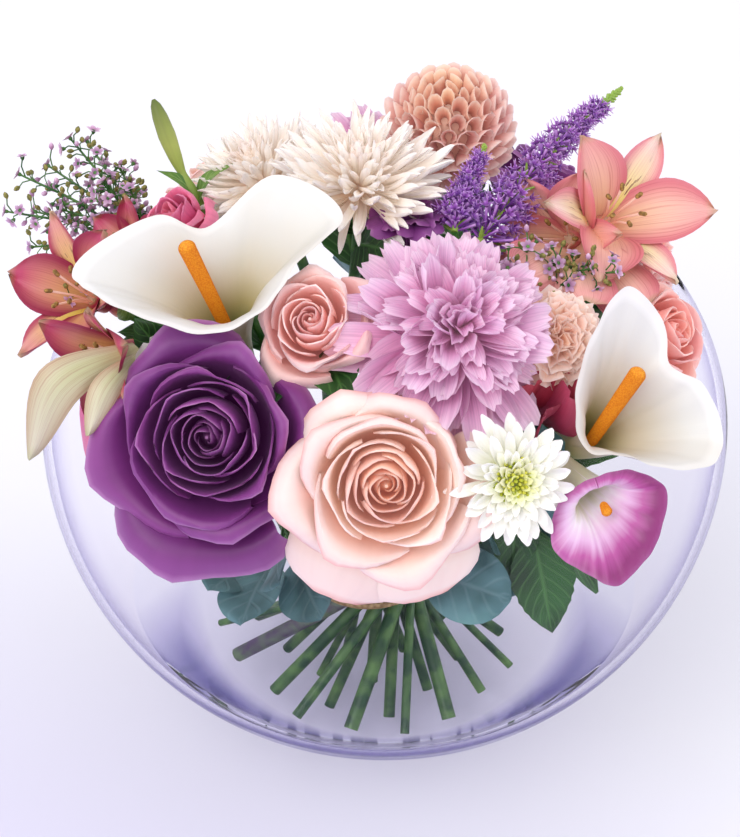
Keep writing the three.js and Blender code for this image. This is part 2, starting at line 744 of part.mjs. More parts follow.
const UPWARD = V(0, 0, 1);
const MIDDLE = V(WAIST.x, WAIST.y, WAIST.z);
const straightUp = (top) => top.clone().sub(MIDDLE).normalize().add(UPWARD).normalize();

// Every stem with its top, its radius and the way that it arrives there.
const stems = [
  ...BLOOMS.map((bloom) => {
    const arrive = facing(...bloom.face);
    const seat = bloom.heart.clone().addScaledVector(arrive, -bloom.depth);
    return { ...bloom, seat, arrive, radius: bloom.stem, top: seat.clone().addScaledVector(arrive, -4) };
  }),
  ...CALLAS.map((calla) => {
    const arrive = calla.base.clone().negate().normalize();
    const seat = calla.throat.clone().add(calla.base);
    return { ...calla, arrive, radius: calla.stem, top: seat.addScaledVector(arrive, -GAP) };
  }),
  ...[...LEAFY, ...SPRAYS, VERONICA, BUD].map((plant) => {
    return { ...plant, arrive: straightUp(plant.top), radius: plant.stem };
  }),
];

const holes = [];
const tied = [];
packWaist(stems).forEach((spot, k) => {
  const stem = stems[k];
  const line = stemLine(spot);
  const foot = line.at(footHeight(line, stem.radius));
  const path = new StemPath(foot, line.waist, line.heading, stem.top, stem.arrive);
  const parts = [tube(path, stem.radius, 5, STEM_STEPS)];
  if (stem.cup) {
    const profile = [[0, -2], [stem.cup, 2], [stem.cup, 4 - GAP], [0, 4 - GAP]];
    parts.push(turned(profile, 6, standing(stem.top, stem.arrive)));
  }
  const outward = stem.top.clone().setZ(0).normalize().add(UPWARD);
  for (const [at, tip, width] of stem.leaves ?? []) {
    const outline = width ? ROUND : TOOTHED;
    const joint = path.getPointAt(at / STEM_STEPS);
    const root = joint.clone().sub(tip).setLength(1.2).add(joint);
    parts.push(leaf(root, tip, outward, width ?? 20, outline, width ? 3 : 6));
  }
  if (stem.tips) parts.push(spray(stem.top.clone().addScaledVector(stem.arrive, -1), stem.tips));
  if (stem.spikes) {
    const fork = stem.top.clone().addScaledVector(stem.arrive, -1);
    stem.spikes.forEach(([from, ...rest], n) => {
      const end = from.clone().lerp(fork, 0.04);
      parts.push(tube(bend(fork, fork.clone().lerp(end, 0.5).add(V(0, 0, 1)), end), 1.4, 4, 3));
      const florets = spike(bend(from, ...rest), n ? 8 : 14, n ? 7 : 8);
      add(`${stem.name}_spike_${n + 1}`, florets, "violet");
    });
  }
  if (stem.tip) {
    const along = stem.tip.clone().sub(stem.top);
    const length = along.length();
    const profile = [
      [0, -2], [2, -2], [1.8, length * 0.4], [4.4, length * 0.6], [3.6, length * 0.85], [0, length],
    ];
    parts.push(turned(profile, 7, standing(stem.top, along)));
  }
  const flowers = stem.petals || stem.rim;
  add(flowers ? stem.name + "_stem" : stem.name, fuse(parts), stem.hue ?? "green");
  holes.push(tube(new THREE.LineCurve3(line.at(2), line.at(WATER_LEVEL + 4)), stem.radius + 0.6, 5, 1));
  tied.push(Math.hypot(spot.x, spot.y) + stem.radius);
});

for (const bloom of stems.filter((stem) => stem.petals)) {
  add(bloom.name + "_petals", bloom.petals, bloom.look, standing(bloom.seat, bloom.arrive));
}

for (const calla of CALLAS) {
  const place = new THREE.Matrix4().setPosition(calla.throat);
  add(calla.name + "_spathe", spathe(calla.rim, calla.radius, calla.base), calla.look, place);
  add(calla.name + "_spadix", spadix(...calla.spadix, 3), "orange", place);
}

const inside = Math.max(...tied) * 1.05 + GAP;
const [low, high] = [WAIST.z - TIE.height / 2, WAIST.z + TIE.height / 2];
const outside = inside + TIE.thickness;
const band = [[inside, low], [outside, low + 1], [outside, high - 1], [inside, high], [inside, low]];
add("tie", turned(band, 14, new THREE.Matrix4().setPosition(WAIST.x, WAIST.y, 0)), "twine");
add("bowl", bowl(), "glass");
add("water", water(holes), "water");

export default centerpiece;
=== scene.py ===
# %% [markdown]
# # A floral table centerpiece
# A hand-tied bouquet stands in a round clear glass bowl with a little water. This lesson dresses its
# solid model with finer petals, leaves, glass and water. Lengths in the tables are in millimetres, and
# each mesh is turned to metres at the end. The bowl's foot stands on the origin, and -Y is the front.

# %% Load the solid model
import math

import bpy
import numpy as np
from mathutils import Matrix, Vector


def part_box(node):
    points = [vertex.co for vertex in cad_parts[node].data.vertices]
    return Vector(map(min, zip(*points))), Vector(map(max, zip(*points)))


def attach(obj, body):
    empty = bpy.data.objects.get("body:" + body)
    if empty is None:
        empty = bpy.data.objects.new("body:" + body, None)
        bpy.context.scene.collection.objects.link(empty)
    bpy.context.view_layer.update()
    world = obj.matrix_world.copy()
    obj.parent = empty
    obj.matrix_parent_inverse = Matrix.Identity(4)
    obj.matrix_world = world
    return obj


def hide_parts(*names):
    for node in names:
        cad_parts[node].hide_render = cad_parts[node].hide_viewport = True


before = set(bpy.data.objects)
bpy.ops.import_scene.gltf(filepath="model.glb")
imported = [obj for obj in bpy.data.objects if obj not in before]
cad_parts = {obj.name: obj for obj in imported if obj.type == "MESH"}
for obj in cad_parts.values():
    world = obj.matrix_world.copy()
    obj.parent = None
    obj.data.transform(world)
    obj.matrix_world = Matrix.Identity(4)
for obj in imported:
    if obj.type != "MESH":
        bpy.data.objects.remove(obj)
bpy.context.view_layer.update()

# %% [markdown]
# ## The camera
# The photograph looks down on the bouquet at 36 degrees, from straight in front. From the size of the
# 254 mm bowl and its egg-shaped outline, a camera one metre away with a long lens fits. It looks at the
# middle of the bowl, and is slid a few millimetres so that the bowl lands where the photograph has it.

# %% Camera
BOWL_MIDDLE = 117.6
VIEW = math.radians(36)
DISTANCE = 1.0
SLIDE_X, SLIDE_UP = -0.0054, -0.0006
LENS = 115.4
bpy.ops.object.select_all(action="DESELECT")
back = np.array([0, -math.cos(VIEW), math.sin(VIEW)])
up = np.array([0, math.sin(VIEW), math.cos(VIEW)])
eye = np.array([SLIDE_X, 0, BOWL_MIDDLE / 1000]) + back * DISTANCE + up * SLIDE_UP
bpy.ops.object.camera_add(location=eye, rotation=(math.pi / 2 - VIEW, 0, 0))
camera = bpy.context.object
camera.name = "camera"
camera.data.sensor_fit = "VERTICAL"
camera.data.sensor_height = 36
camera.data.lens = LENS
bpy.context.scene.camera = camera
print("camera at", [round(x, 3) for x in eye])

# %% [markdown]
# ## Floor and light
# The background is a white table top, and one large plane does for it. Its colour turns faintly
# lavender towards the front left: that is painted shade, for the bowl's soft shadow there. The light is
# a bright pale sky, which also reaches what stands inside the glass, with one large soft lamp at the
# upper left for shape and a weaker one at the right.

# %% Floor, sky and lamps
def new_material(name):
    material = bpy.data.materials.new(name)
    material.use_nodes = True
    tree = material.node_tree
    shader = tree.nodes["Principled BSDF"]
    return material, tree, shader


def node(tree, kind, **settings):
    made = tree.nodes.new("ShaderNode" + kind)
    for key, value in settings.items():
        setattr(made, key, value)
    return made


def ramp(tree, factor, *stops):
    made = node(tree, "ValToRGB")
    elements = made.color_ramp.elements
    while len(elements) < len(stops):
        elements.new(0.5)
    for element, (place, color) in zip(elements, stops):
        element.position = place
        element.color = (*color, 1)
    tree.links.new(factor, made.inputs["Fac"])
    return made.outputs["Color"]


def rgb(text):
    """A web colour such as c896dc, in Blender's linear values."""
    parts = [int(text[i : i + 2], 16) / 255 for i in (0, 2, 4)]
    return tuple(p / 12.92 if p <= 0.04045 else ((p + 0.055) / 1.055) ** 2.4 for p in parts)


bpy.ops.mesh.primitive_plane_add(size=6, location=(0, 0, 0))
floor = bpy.context.object
floor.name = "floor"
floor_finish, tree, shader = new_material("floor")
where = node(tree, "TexCoord")
gradient = node(tree, "TexGradient")
mapping = node(tree, "Mapping")
mapping.inputs["Location"].default_value = (0.47, 0.5, 0)
mapping.inputs["Rotation"].default_value = (0, 0, math.radians(-60))
mapping.inputs["Scale"].default_value = (1.6, 1.6, 1)
tree.links.new(where.outputs["Object"], mapping.inputs["Vector"])
tree.links.new(mapping.outputs["Vector"], gradient.inputs["Vector"])
# painted shade: the floor turns lavender towards the front left, where the bowl's soft shadow falls
floor_with_painted_shade = ramp(tree, gradient.outputs["Fac"], (0.1, rgb("ddd9f2")), (0.5, rgb("f8f8fc")))
tree.links.new(floor_with_painted_shade, shader.inputs["Base Color"])
shader.inputs["Roughness"].default_value = 0.9
floor.data.materials.append(floor_finish)


def lamp(name, place, size, power, color):
    """A round soft lamp that shines at the origin."""
    bpy.ops.object.light_add(type="AREA", location=place)
    light = bpy.context.object
    light.name = name
    light.data.shape = "DISK"
    light.data.size = size
    light.data.energy = power
    light.data.color = color
    aim = -np.array(place) / np.linalg.norm(place)
    pitch = math.acos(-aim[2])
    light.rotation_euler = (pitch, 0, math.atan2(-aim[0], aim[1]))
    return light


lamp("key_light", (-0.75, -1.1, 1.5), 1.4, 13, (1, 0.985, 0.96))
lamp("fill_light", (1.4, -0.5, 1.1), 1.2, 3, (0.95, 0.94, 1))
world = bpy.context.scene.world or bpy.data.worlds.new("sky")
bpy.context.scene.world = world
world.use_nodes = True
sky = world.node_tree.nodes["Background"]
sky.inputs["Color"].default_value = (*rgb("f4f3fb"), 1)
sky.inputs["Strength"].default_value = 1.02
bpy.context.scene.view_settings.view_transform = "Standard"

# %% [markdown]
# ## How a soft sheet is made
# Petals and leaves are thin sheets. A sheet starts as a flat grid, which is the primitive that a
# modeller would add for it, with rows from its root to its tip and columns across. A bend then moves
# its points. Hundreds of petals differ a little, so the grid is added once and each copy gets a bend of
# its own. Both faces meet in a thin edge, which closes the sheet. Two marks go with every point: where
# it lies on its petal, and which petal it is, so that a material can colour a petal from root to tip.

# %% The flat grid, and parts that grow into one piece
GRIDS = {}


def flat_grid(rows, columns):
    """Rows of u from 0 at the root to 1, and v from -1 to 1 across, taken from a grid primitive."""
    if (rows, columns) not in GRIDS:
        bpy.ops.object.select_all(action="DESELECT")
        bpy.ops.mesh.primitive_grid_add(x_subdivisions=columns, y_subdivisions=rows, size=2)
        blank = bpy.context.object
        places = np.array([vertex.co[:] for vertex in blank.data.vertices])
        order = np.lexsort((places[:, 0].round(4), places[:, 1].round(4)))
        places = places[order].reshape(rows + 1, columns + 1, 3)
        GRIDS[rows, columns] = ((places[..., 1] + 1) / 2, places[..., 0])
        bpy.data.objects.remove(blank)
    return GRIDS[rows, columns]


class Growth:
    """The parts of one piece while it grows."""

    def __init__(self):
        self.points = []
        self.faces = []
        self.marks = []
        self.petals = []
        self.finishes = []
        self.count = 0
        self.place = np.eye(4)

    def take(self, points, faces, marks, petal, finish):
        points = points.reshape(-1, 3) @ self.place[:3, :3].T + self.place[:3, 3]
        self.points.append(points)
        self.faces.extend((np.array(part) + self.count).tolist() for part in faces)
        self.marks.append(marks.reshape(-1, 3))
        self.petals.append(np.full(len(points), petal))
        self.finishes.extend([finish] * sum(len(part) for part in faces))
        self.count += len(points)

    def sheet(self, grid, thickness=0.5, tone=0.5, petal=0.5, finish=0):
        """A thin closed sheet about a bent grid."""
        rows, columns = grid.shape[0] - 1, grid.shape[1] - 1
        u, v = flat_grid(rows, columns)
        along = np.gradient(grid, axis=0)
        across = np.gradient(grid, axis=1)
        normal = np.cross(along, across)
        normal /= np.linalg.norm(normal, axis=2, keepdims=True) + 1e-9
        inner = np.zeros(u.shape)
        inner[1:-1, 1:-1] = 1
        offset = normal * inner[..., None] * thickness / 2
        top = np.arange(u.size).reshape(u.shape)
        under = top.copy()
        under[1:-1, 1:-1] = u.size + np.arange((rows - 1) * (columns - 1)).reshape(rows - 1, -1)
        upper = [top[:-1, :-1], top[1:, :-1], top[1:, 1:], top[:-1, 1:]]
        lower = [under[:-1, :-1], under[:-1, 1:], under[1:, 1:], under[1:, :-1]]
        faces = [np.stack([corner.ravel() for corner in side], axis=1) for side in (upper, lower)]
        marks = np.stack([u, v, np.full(u.shape, tone)], axis=2)
        points = np.concatenate([(grid + offset).reshape(-1, 3), (grid - offset)[1:-1, 1:-1].reshape(-1, 3)])
        marks = np.concatenate([marks.reshape(-1, 3), marks[1:-1, 1:-1].reshape(-1, 3)])
        self.take(points, faces, marks, petal, finish)

    def skin(self, rings, tone=0.5, petal=0.5, finish=0):
        """A closed skin over rings of points, drawn in to a point at both ends."""
        rings = np.asarray(rings, dtype=float)
        rows, sides = rings.shape[:2]
        index = np.arange(rows * sides).reshape(rows, sides)
        turn = np.roll(index, -1, axis=1)
        body = np.stack([x.ravel() for x in (index[:-1], turn[:-1], turn[1:], index[1:])], axis=1)
        foot, head = rows * sides, rows * sides + 1
        below = np.stack([turn[0], index[0], np.full(sides, foot)], axis=1)
        above = np.stack([index[-1], turn[-1], np.full(sides, head)], axis=1)
        ends = [rings[0].mean(axis=0), rings[-1].mean(axis=0)]
        u = np.repeat(np.linspace(0, 1, rows), sides)
        v = np.tile(np.linspace(-1, 1, sides), rows)
        marks = np.stack([u, v, np.full(u.shape, tone)], axis=1)
        marks = np.concatenate([marks, [[0, 0, tone], [1, 0, tone]]])
        points = np.concatenate([rings.reshape(-1, 3), ends])
        self.take(points, [body, below, above], marks, petal, finish)


def unit(vector):
    return np.asarray(vector, dtype=float) / (np.linalg.norm(vector) + 1e-12)


def stand(at, direction, spin=0.0):
    """The placement that takes +Z to a direction at a place."""
    z = unit(direction)
    side = np.cross([0, 0, 1], z)
    axis_angle = math.acos(max(-1, min(1, z[2])))
    turn = turn_about(side if np.linalg.norm(side) > 1e-6 else [1, 0, 0], axis_angle)
    made = np.eye(4)
    made[:3, :3] = turn @ turn_about([0, 0, 1], spin)
    made[:3, 3] = at
    return made


def turn_about(axis, angle):
    x, y, z = unit(axis)
    c, s = math.cos(angle), math.sin(angle)
    cross = np.array([[0, -z, y], [z, 0, -x], [-y, x, 0]])
    return np.eye(3) * c + s * cross + (1 - c) * np.outer([x, y, z], [x, y, z])


# %% Turn a growth into a piece
def only(thing):
    bpy.ops.object.select_all(action="DESELECT")
    thing.select_set(True)
    bpy.context.view_layer.objects.active = thing


def piece(name, growth, finishes, nodes, crease=55):
    mesh = bpy.data.meshes.new(name)
    points = np.concatenate(growth.points) / 1000
    mesh.from_pydata(points.tolist(), [], [face for part in growth.faces for face in part])
    marks = mesh.attributes.new("growth", "FLOAT_VECTOR", "POINT")
    marks.data.foreach_set("vector", np.concatenate(growth.marks).astype(np.float32).ravel())
    petals = mesh.attributes.new("petal", "FLOAT", "POINT")
    petals.data.foreach_set("value", np.concatenate(growth.petals).astype(np.float32))
    for finish in finishes:
        mesh.materials.append(finish)
    mesh.polygons.foreach_set("material_index", np.array(growth.finishes, dtype=np.int32))
    made = bpy.data.objects.new(name, mesh)
    bpy.context.collection.objects.link(made)
    only(made)
    bpy.ops.object.shade_smooth_by_angle(angle=math.radians(crease))
    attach(made, "root")
    if nodes:
        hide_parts(*nodes)
    print(name, len(mesh.polygons), "faces")
    return made

# %% [markdown]
# ## Petal and leaf finishes
# A petal is deepest in colour at its root or at its rim, has fine streaks that run along it, and in a
# full bloom the heart differs from the outer petals. The deep colour at the roots is partly the flower's
# own and partly painted shade, for the shade down between crowded petals and in the heart. The finish
# mixes those from the marks on the points: how far along the petal, how far across, how near the
# heart, and which petal. A little light passes under the skin of a petal, so it gets some subsurface,
# and its streaks also move the bump. Each petal also has a faint painted glow, an emission in its own
# colour that stands for the light shining through from behind and lightens its shaded parts.

# %% Petal finish
def marks_of(tree):
    growth = node(tree, "Attribute", attribute_name="growth")
    parts = node(tree, "SeparateXYZ")
    tree.links.new(growth.outputs["Vector"], parts.inputs["Vector"])
    petal = node(tree, "Attribute", attribute_name="petal")
    return parts.outputs["X"], parts.outputs["Y"], parts.outputs["Z"], petal.outputs["Fac"]


def blend(tree, factor, first, second, kind="MIX"):
    made = node(tree, "Mix", data_type="RGBA", blend_type=kind)
    for value, socket in ((factor, 0), (first, 6), (second, 7)):
        if isinstance(value, (float, int)):
            made.inputs[socket].default_value = value
        elif isinstance(value, tuple):
            made.inputs[socket].default_value = (*value, 1)
        else:
            tree.links.new(value, made.inputs[socket])
    return made.outputs[2]


def sum_of(tree, kind, first, second, third=0.0):
    made = node(tree, "Math", operation=kind)
    for value, socket in ((first, 0), (second, 1), (third, 2)):
        if isinstance(value, (float, int)):
            made.inputs[socket].default_value = value
        else:
            tree.links.new(value, made.inputs[socket])
    return made.outputs[0]


def streaks(tree, along, across, petal, count, stretch=0.8):
    """Fine lines that run from root to tip, others on each petal."""
    joined = node(tree, "CombineXYZ")
    tree.links.new(sum_of(tree, "MULTIPLY", along, stretch), joined.inputs["X"])
    tree.links.new(sum_of(tree, "MULTIPLY", across, count), joined.inputs["Y"])
    tree.links.new(sum_of(tree, "MULTIPLY", petal, 37), joined.inputs["Z"])
    noise = node(tree, "TexNoise")
    noise.inputs["Scale"].default_value = 1.0
    noise.inputs["Detail"].default_value = 3
    tree.links.new(joined.outputs[0], noise.inputs["Vector"])
    return noise.outputs["Fac"]


def petal_finish(name, outer, heart, reach=0.6, lines=9, strength=0.16, roughness=0.5, painted_glow=0.02):
    """outer and heart: colours from root to tip. reach: how far the heart's colours spread."""
    material, tree, shader = new_material(name)
    along, across, tone, petal = marks_of(tree)
    # painted shade: the darkest stops at the root of these ramps stand partly for the shade deep between the
    # petals and in the heart
    outside = ramp(tree, along, *outer)
    inside = ramp(tree, along, *heart)
    far = node(tree, "MapRange")
    far.inputs["From Max"].default_value = reach
    tree.links.new(tone, far.inputs["Value"])
    color = blend(tree, far.outputs["Result"], inside, outside)
    fine = streaks(tree, along, across, petal, lines)
    darker = blend(tree, 1.0, color, (0.72, 0.66, 0.74), "MULTIPLY")
    line = node(tree, "MapRange")
    line.inputs["From Min"].default_value = 0.42
    line.inputs["From Max"].default_value = 0.75
    line.inputs["To Max"].default_value = strength * 3
    tree.links.new(fine, line.inputs["Value"])
    color = blend(tree, line.outputs["Result"], color, darker)
    vary = node(tree, "HueSaturation")
    tree.links.new(sum_of(tree, "MULTIPLY_ADD", petal, 0.16, 0.92), vary.inputs["Value"])
    tree.links.new(sum_of(tree, "MULTIPLY_ADD", petal, 0.02, 0.49), vary.inputs["Hue"])
    tree.links.new(color, vary.inputs["Color"])
    tree.links.new(vary.outputs["Color"], shader.inputs["Base Color"])
    bump = node(tree, "Bump")
    bump.inputs["Strength"].default_value = 0.25
    bump.inputs["Distance"].default_value = 0.0004
    tree.links.new(fine, bump.inputs["Height"])
    tree.links.new(bump.outputs["Normal"], shader.inputs["Normal"])
    shader.inputs["Roughness"].default_value = roughness
    shader.inputs["Subsurface Weight"].default_value = 0.25
    shader.inputs["Subsurface Radius"].default_value = (0.0012, 0.001, 0.0009)
    # painted glow: a faint emission in the petal's own colour stands for light shining through and lightens
    # the shade between petals
    shader.inputs["Emission Color"].default_value = (*outer[len(outer) // 2][1], 1)
    shader.inputs["Emission Strength"].default_value = painted_glow
    shader.inputs["Subsurface Scale"].default_value = 1.0
    shader.inputs["Sheen Weight"].default_value = 0.05
    return material


def stops(*pairs):
    return [(place, rgb(color)) for place, color in pairs]


PURPLE = petal_finish(
    "petal_purple",
    stops((0, "44103f"), (0.45, "6e2470"), (0.8, "7a307a"), (0.95, "90468e"), (1, "b074ac")),
    stops((0, "260624"), (0.6, "561850"), (0.92, "823682"), (1, "b274ae")),
    reach=0.5, lines=7, strength=0.1, painted_glow=0.05,
)
BLUSH = petal_finish(
    "petal_blush",
    stops((0, "f4986c"), (0.4, "fac4a8"), (0.75, "fce2d6"), (0.94, "fce0d8"), (1, "f6b8b0")),
    stops((0, "e45c28"), (0.5, "f48450"), (0.88, "fcb48c"), (1, "fee0cc")),
    reach=0.62, lines=7, strength=0.03, painted_glow=0.05,
)
PEACH_ROSE = petal_finish(
    "petal_peach_rose",
    stops((0, "ee8c80"), (0.5, "f6b8b0"), (0.9, "fbd2cc"), (1, "fee6e2")),
    stops((0, "d84c3c"), (0.6, "ee8878"), (0.92, "f8b6ae"), (1, "fedad4")),
    reach=0.7, lines=7, strength=0.03, painted_glow=0.05,
)
CORAL = petal_finish(
    "petal_coral",
    stops((0, "e06c62"), (0.5, "f09a92"), (0.9, "fac2ba"), (1, "fee0da")),
    stops((0, "e4543e"), (0.6, "f48470"), (0.95, "fcaca0"), (1, "fdc0b6")),
    reach=0.7, lines=7, strength=0.03, painted_glow=0.05,
)
LILAC = petal_finish(
    "petal_lilac",
    stops((0, "a03470"), (0.3, "d07cb0"), (0.7, "eab2d4"), (1, "f8daec")),
    stops((0, "8c9430"), (0.3, "bc8078"), (0.7, "dc9cc6"), (1, "f0c4e0")),
    reach=0.35, lines=11, strength=0.3, painted_glow=0.05,
)
CREAM = petal_finish(
    "petal_cream",
    stops((0, "f4ccac"), (0.35, "fcecdc"), (1, "fffaf4")),
    stops((0, "dcc878"), (0.4, "fae8cc"), (1, "fdeae0")),
    reach=0.4, lines=5, strength=0.04, painted_glow=0.05,
)
WHITE = petal_finish(
    "petal_white",
    stops((0, "e4e69c"), (0.3, "fafae8"), (1, "fffefa")),
    stops((0, "b8c420"), (0.6, "dce050"), (1, "eef08c")),
    reach=0.5, lines=5, strength=0.06, painted_glow=0.05,
)
PEACH = petal_finish(
    "petal_peach",
    stops((0, "9c443c"), (0.45, "de968e"), (0.85, "f0c6be"), (1, "f8dcd2")),
    stops((0, "984024"), (0.45, "e0a082"), (0.85, "f2caac"), (1, "f8e0c8")),
    reach=0.6, lines=5, strength=0.04, painted_glow=0.05,
)
CARNATION = petal_finish(
    "petal_carnation",
    stops((0, "e0947c"), (0.5, "f0bca6"), (0.9, "f8d6c6"), (1, "fce8de")),
    stops((0, "dc8464"), (0.5, "f0ac8e"), (0.9, "f8ccb4"), (1, "fce0d0")),
    reach=0.6, lines=9, strength=0.05, painted_glow=0.05,
)
PINK = petal_finish(
    "petal_pink",
    stops((0, "b02458"), (0.5, "d84478"), (1, "ee88a8")),
    stops((0, "980f44"), (0.5, "c83468"), (1, "e07898")),
    lines=9, strength=0.16, painted_glow=0.03,
)
CRIMSON = petal_finish(
    "petal_crimson",
    stops((0, "6c1030"), (0.5, "a82848"), (1, "cc5068")),
    stops((0, "6c1030"), (0.5, "a82848"), (1, "cc5068")),
    lines=9, strength=0.16, painted_glow=0.03,
)
VIOLET = petal_finish(
    "petal_violet",
    stops((0, "5c1c7c"), (0.5, "9c54bc"), (1, "dcb0ec")),
    stops((0, "48146c"), (0.5, "8440ac"), (1, "c08cdc")),
    lines=5, strength=0.16, painted_glow=0.03,
)
print(len([m for m in bpy.data.materials if m.name.startswith("petal")]), "petal finishes")

# %% [markdown]
# Some tepals carry a pattern of their own. An alstroemeria's inner tepals have a yellow throat with
# short dark dashes, between pink flanks, and all its tepals have fine veins. The pattern follows the
# sheet, so it is mixed from the marks. A calla is waxy white, and greener down in its throat.

# %% Alstroemeria and calla finishes
def lily_finish(name, rim, middle, throat):
    material, tree, shader = new_material(name)
    along, across, tone, petal = marks_of(tree)
    wide = sum_of(tree, "ABSOLUTE", across, 0)
    flank = ramp(tree, wide, (0.25, middle), (0.9, rim))
    rise = ramp(tree, along, (0.35, (1, 1, 1)), (0.85, (0, 0, 0)))
    center = ramp(tree, wide, (0.25, (1, 1, 1)), (0.85, (0, 0, 0)))
    yellow = sum_of(tree, "MULTIPLY", rise, center)
    color = blend(tree, yellow, flank, throat)
    fine = streaks(tree, along, across, petal, 7, 5.0)
    dashes = sum_of(tree, "MULTIPLY", sum_of(tree, "GREATER_THAN", fine, 0.62), yellow)
    inner = sum_of(tree, "LESS_THAN", tone, 0.3)
    dashes = sum_of(tree, "MULTIPLY", dashes, inner)
    color = blend(tree, dashes, color, rgb("6a2030"))
    vein = streaks(tree, along, across, petal, 26, 1.2)
    vein = ramp(tree, vein, (0.5, (1, 1, 1)), (0.72, (0.8, 0.62, 0.66)))
    color = blend(tree, 1.0, color, vein, "MULTIPLY")
    tip = ramp(tree, along, (0.9, (0, 0, 0)), (1.0, (0.5, 0.5, 0.5)))
    color = blend(tree, tip, color, rgb("a8b070"))
    tree.links.new(color, shader.inputs["Base Color"])
    shader.inputs["Roughness"].default_value = 0.45
    shader.inputs["Subsurface Weight"].default_value = 0.1
    shader.inputs["Subsurface Radius"].default_value = (0.0015, 0.001, 0.001)
    shader.inputs["Subsurface Scale"].default_value = 1.0
    return material


SALMON_LILY = lily_finish("tepal_salmon", rgb("dc7c84"), rgb("f0aea6"), rgb("f4cca8"))
PINK_LILY = lily_finish("tepal_pink", rgb("961c40"), rgb("c2486a"), rgb("deac70"))
CREAM_SALMON = lily_finish("tepal_cream_salmon", rgb("e48c94"), rgb("f6d8c8"), rgb("f4ea90"))
CREAM_PINK = lily_finish("tepal_cream_pink", rgb("b23c58"), rgb("e09a90"), rgb("ecd464"))
CREAM_LILY = lily_finish("tepal_cream", rgb("c4b08c"), rgb("d6d0b4"), rgb("c4c494"))

# %% A calla's waxy white
def calla_finish():
    material, tree, shader = new_material("calla_white")
    along, across, tone, petal = marks_of(tree)
    body = ramp(
        tree, along, (0.0, rgb("7c9048")), (0.26, rgb("beb67c")), (0.46, rgb("d4ccb4")),
        (0.72, rgb("dcdad2")), (0.96, rgb("e4e4de")), (1.0, rgb("f4f4ee")),
    )
    where = node(tree, "TexCoord")
    cloud = node(tree, "TexNoise")
    cloud.inputs["Scale"].default_value = 26
    tree.links.new(where.outputs["Object"], cloud.inputs["Vector"])
    warm = ramp(tree, cloud.outputs["Fac"], (0.45, (0, 0, 0)), (0.75, (0.4, 0.4, 0.4)))
    color = blend(tree, warm, body, rgb("d2c2a8"))
    tree.links.new(color, shader.inputs["Base Color"])
    fine = streaks(tree, along, across, petal, 60, 0.6)
    bump = node(tree, "Bump")
    bump.inputs["Strength"].default_value = 0.15
    bump.inputs["Distance"].default_value = 0.0004
    tree.links.new(fine, bump.inputs["Height"])
    tree.links.new(bump.outputs["Normal"], shader.inputs["Normal"])
    shader.inputs["Roughness"].default_value = 0.38
    shader.inputs["Subsurface Weight"].default_value = 0.15
    shader.inputs["Subsurface Radius"].default_value = (0.002, 0.0018, 0.0015)
    shader.inputs["Subsurface Scale"].default_value = 1.0
    return material


CALLA = calla_finish()


def magenta_finish():
    """White-lilac that runs out to magenta in streaks towards the rim, most on one side."""
    material, tree, shader = new_material("calla_magenta")
    along, across, tone, petal = marks_of(tree)
    fine = streaks(tree, along, across, petal, 16, 0.5)
    side = sum_of(tree, "SINE", sum_of(tree, "MULTIPLY_ADD", across, 3.1416, 2.4), 0)
    side = sum_of(tree, "SUBTRACT", sum_of(tree, "MULTIPLY", side, 0.14), 0.17)
    rise = sum_of(tree, "ADD", sum_of(tree, "MULTIPLY_ADD", fine, 0.3, along), side)
    color = ramp(
        tree, rise, (0.2, rgb("d8d8b4")), (0.42, rgb("f2e8f0")), (0.66, rgb("e2b8dc")), (0.84, rgb("b8549c")),
        (1.0, rgb("8c2c70")),
    )
    tree.links.new(color, shader.inputs["Base Color"])
    shader.inputs["Roughness"].default_value = 0.38
    shader.inputs["Subsurface Weight"].default_value = 0.2
    shader.inputs["Subsurface Radius"].default_value = (0.0012, 0.001, 0.001)
    shader.inputs["Subsurface Scale"].default_value = 1.0
    return material


MAGENTA = magenta_finish()


def grain_finish(name, low, high, scale, roughness=0.7, height=0.0006, strength=0.5):
    """A colour that changes from grain to grain, with the grains raised."""
    material, tree, shader = new_material(name)
    where = node(tree, "TexCoord")
    cells = node(tree, "TexVoronoi")
    cells.inputs["Scale"].default_value = scale
    tree.links.new(where.outputs["Object"], cells.inputs["Vector"])
    color = ramp(tree, cells.outputs["Distance"], (0.1, high), (0.75, low))
    tree.links.new(color, shader.inputs["Base Color"])
    bump = node(tree, "Bump", invert=True)
    bump.inputs["Strength"].default_value = strength
    bump.inputs["Distance"].default_value = height
    tree.links.new(cells.outputs["Distance"], bump.inputs["Height"])
    tree.links.new(bump.outputs["Normal"], shader.inputs["Normal"])
    shader.inputs["Roughness"].default_value = roughness
    return material


SPADIX = grain_finish("spadix", rgb("e88c10"), rgb("fcb428"), 1800, height=0.0003, strength=0.35)
POLLEN = grain_finish("pollen", rgb("7a5a28"), rgb("b89048"), 900)
BUTTON = grain_finish("button", rgb("a8b428"), rgb("ece458"), 700)
TWINE = grain_finish("twine", rgb("8a6c40"), rgb("c8ac78"), 600)

# %% [markdown]
# ## Greens
# Leaves differ most in their greens: rose leaves are dark and glossy with sunk veins, eucalyptus is
# blue-green and dusty, and stems go from fresh green near the bloom to a cooler green in the water. One
# stem is woody, and the lily bud is a streaked olive.
# The veins are drawn from the marks too: lines that leave the midrib at a slant.

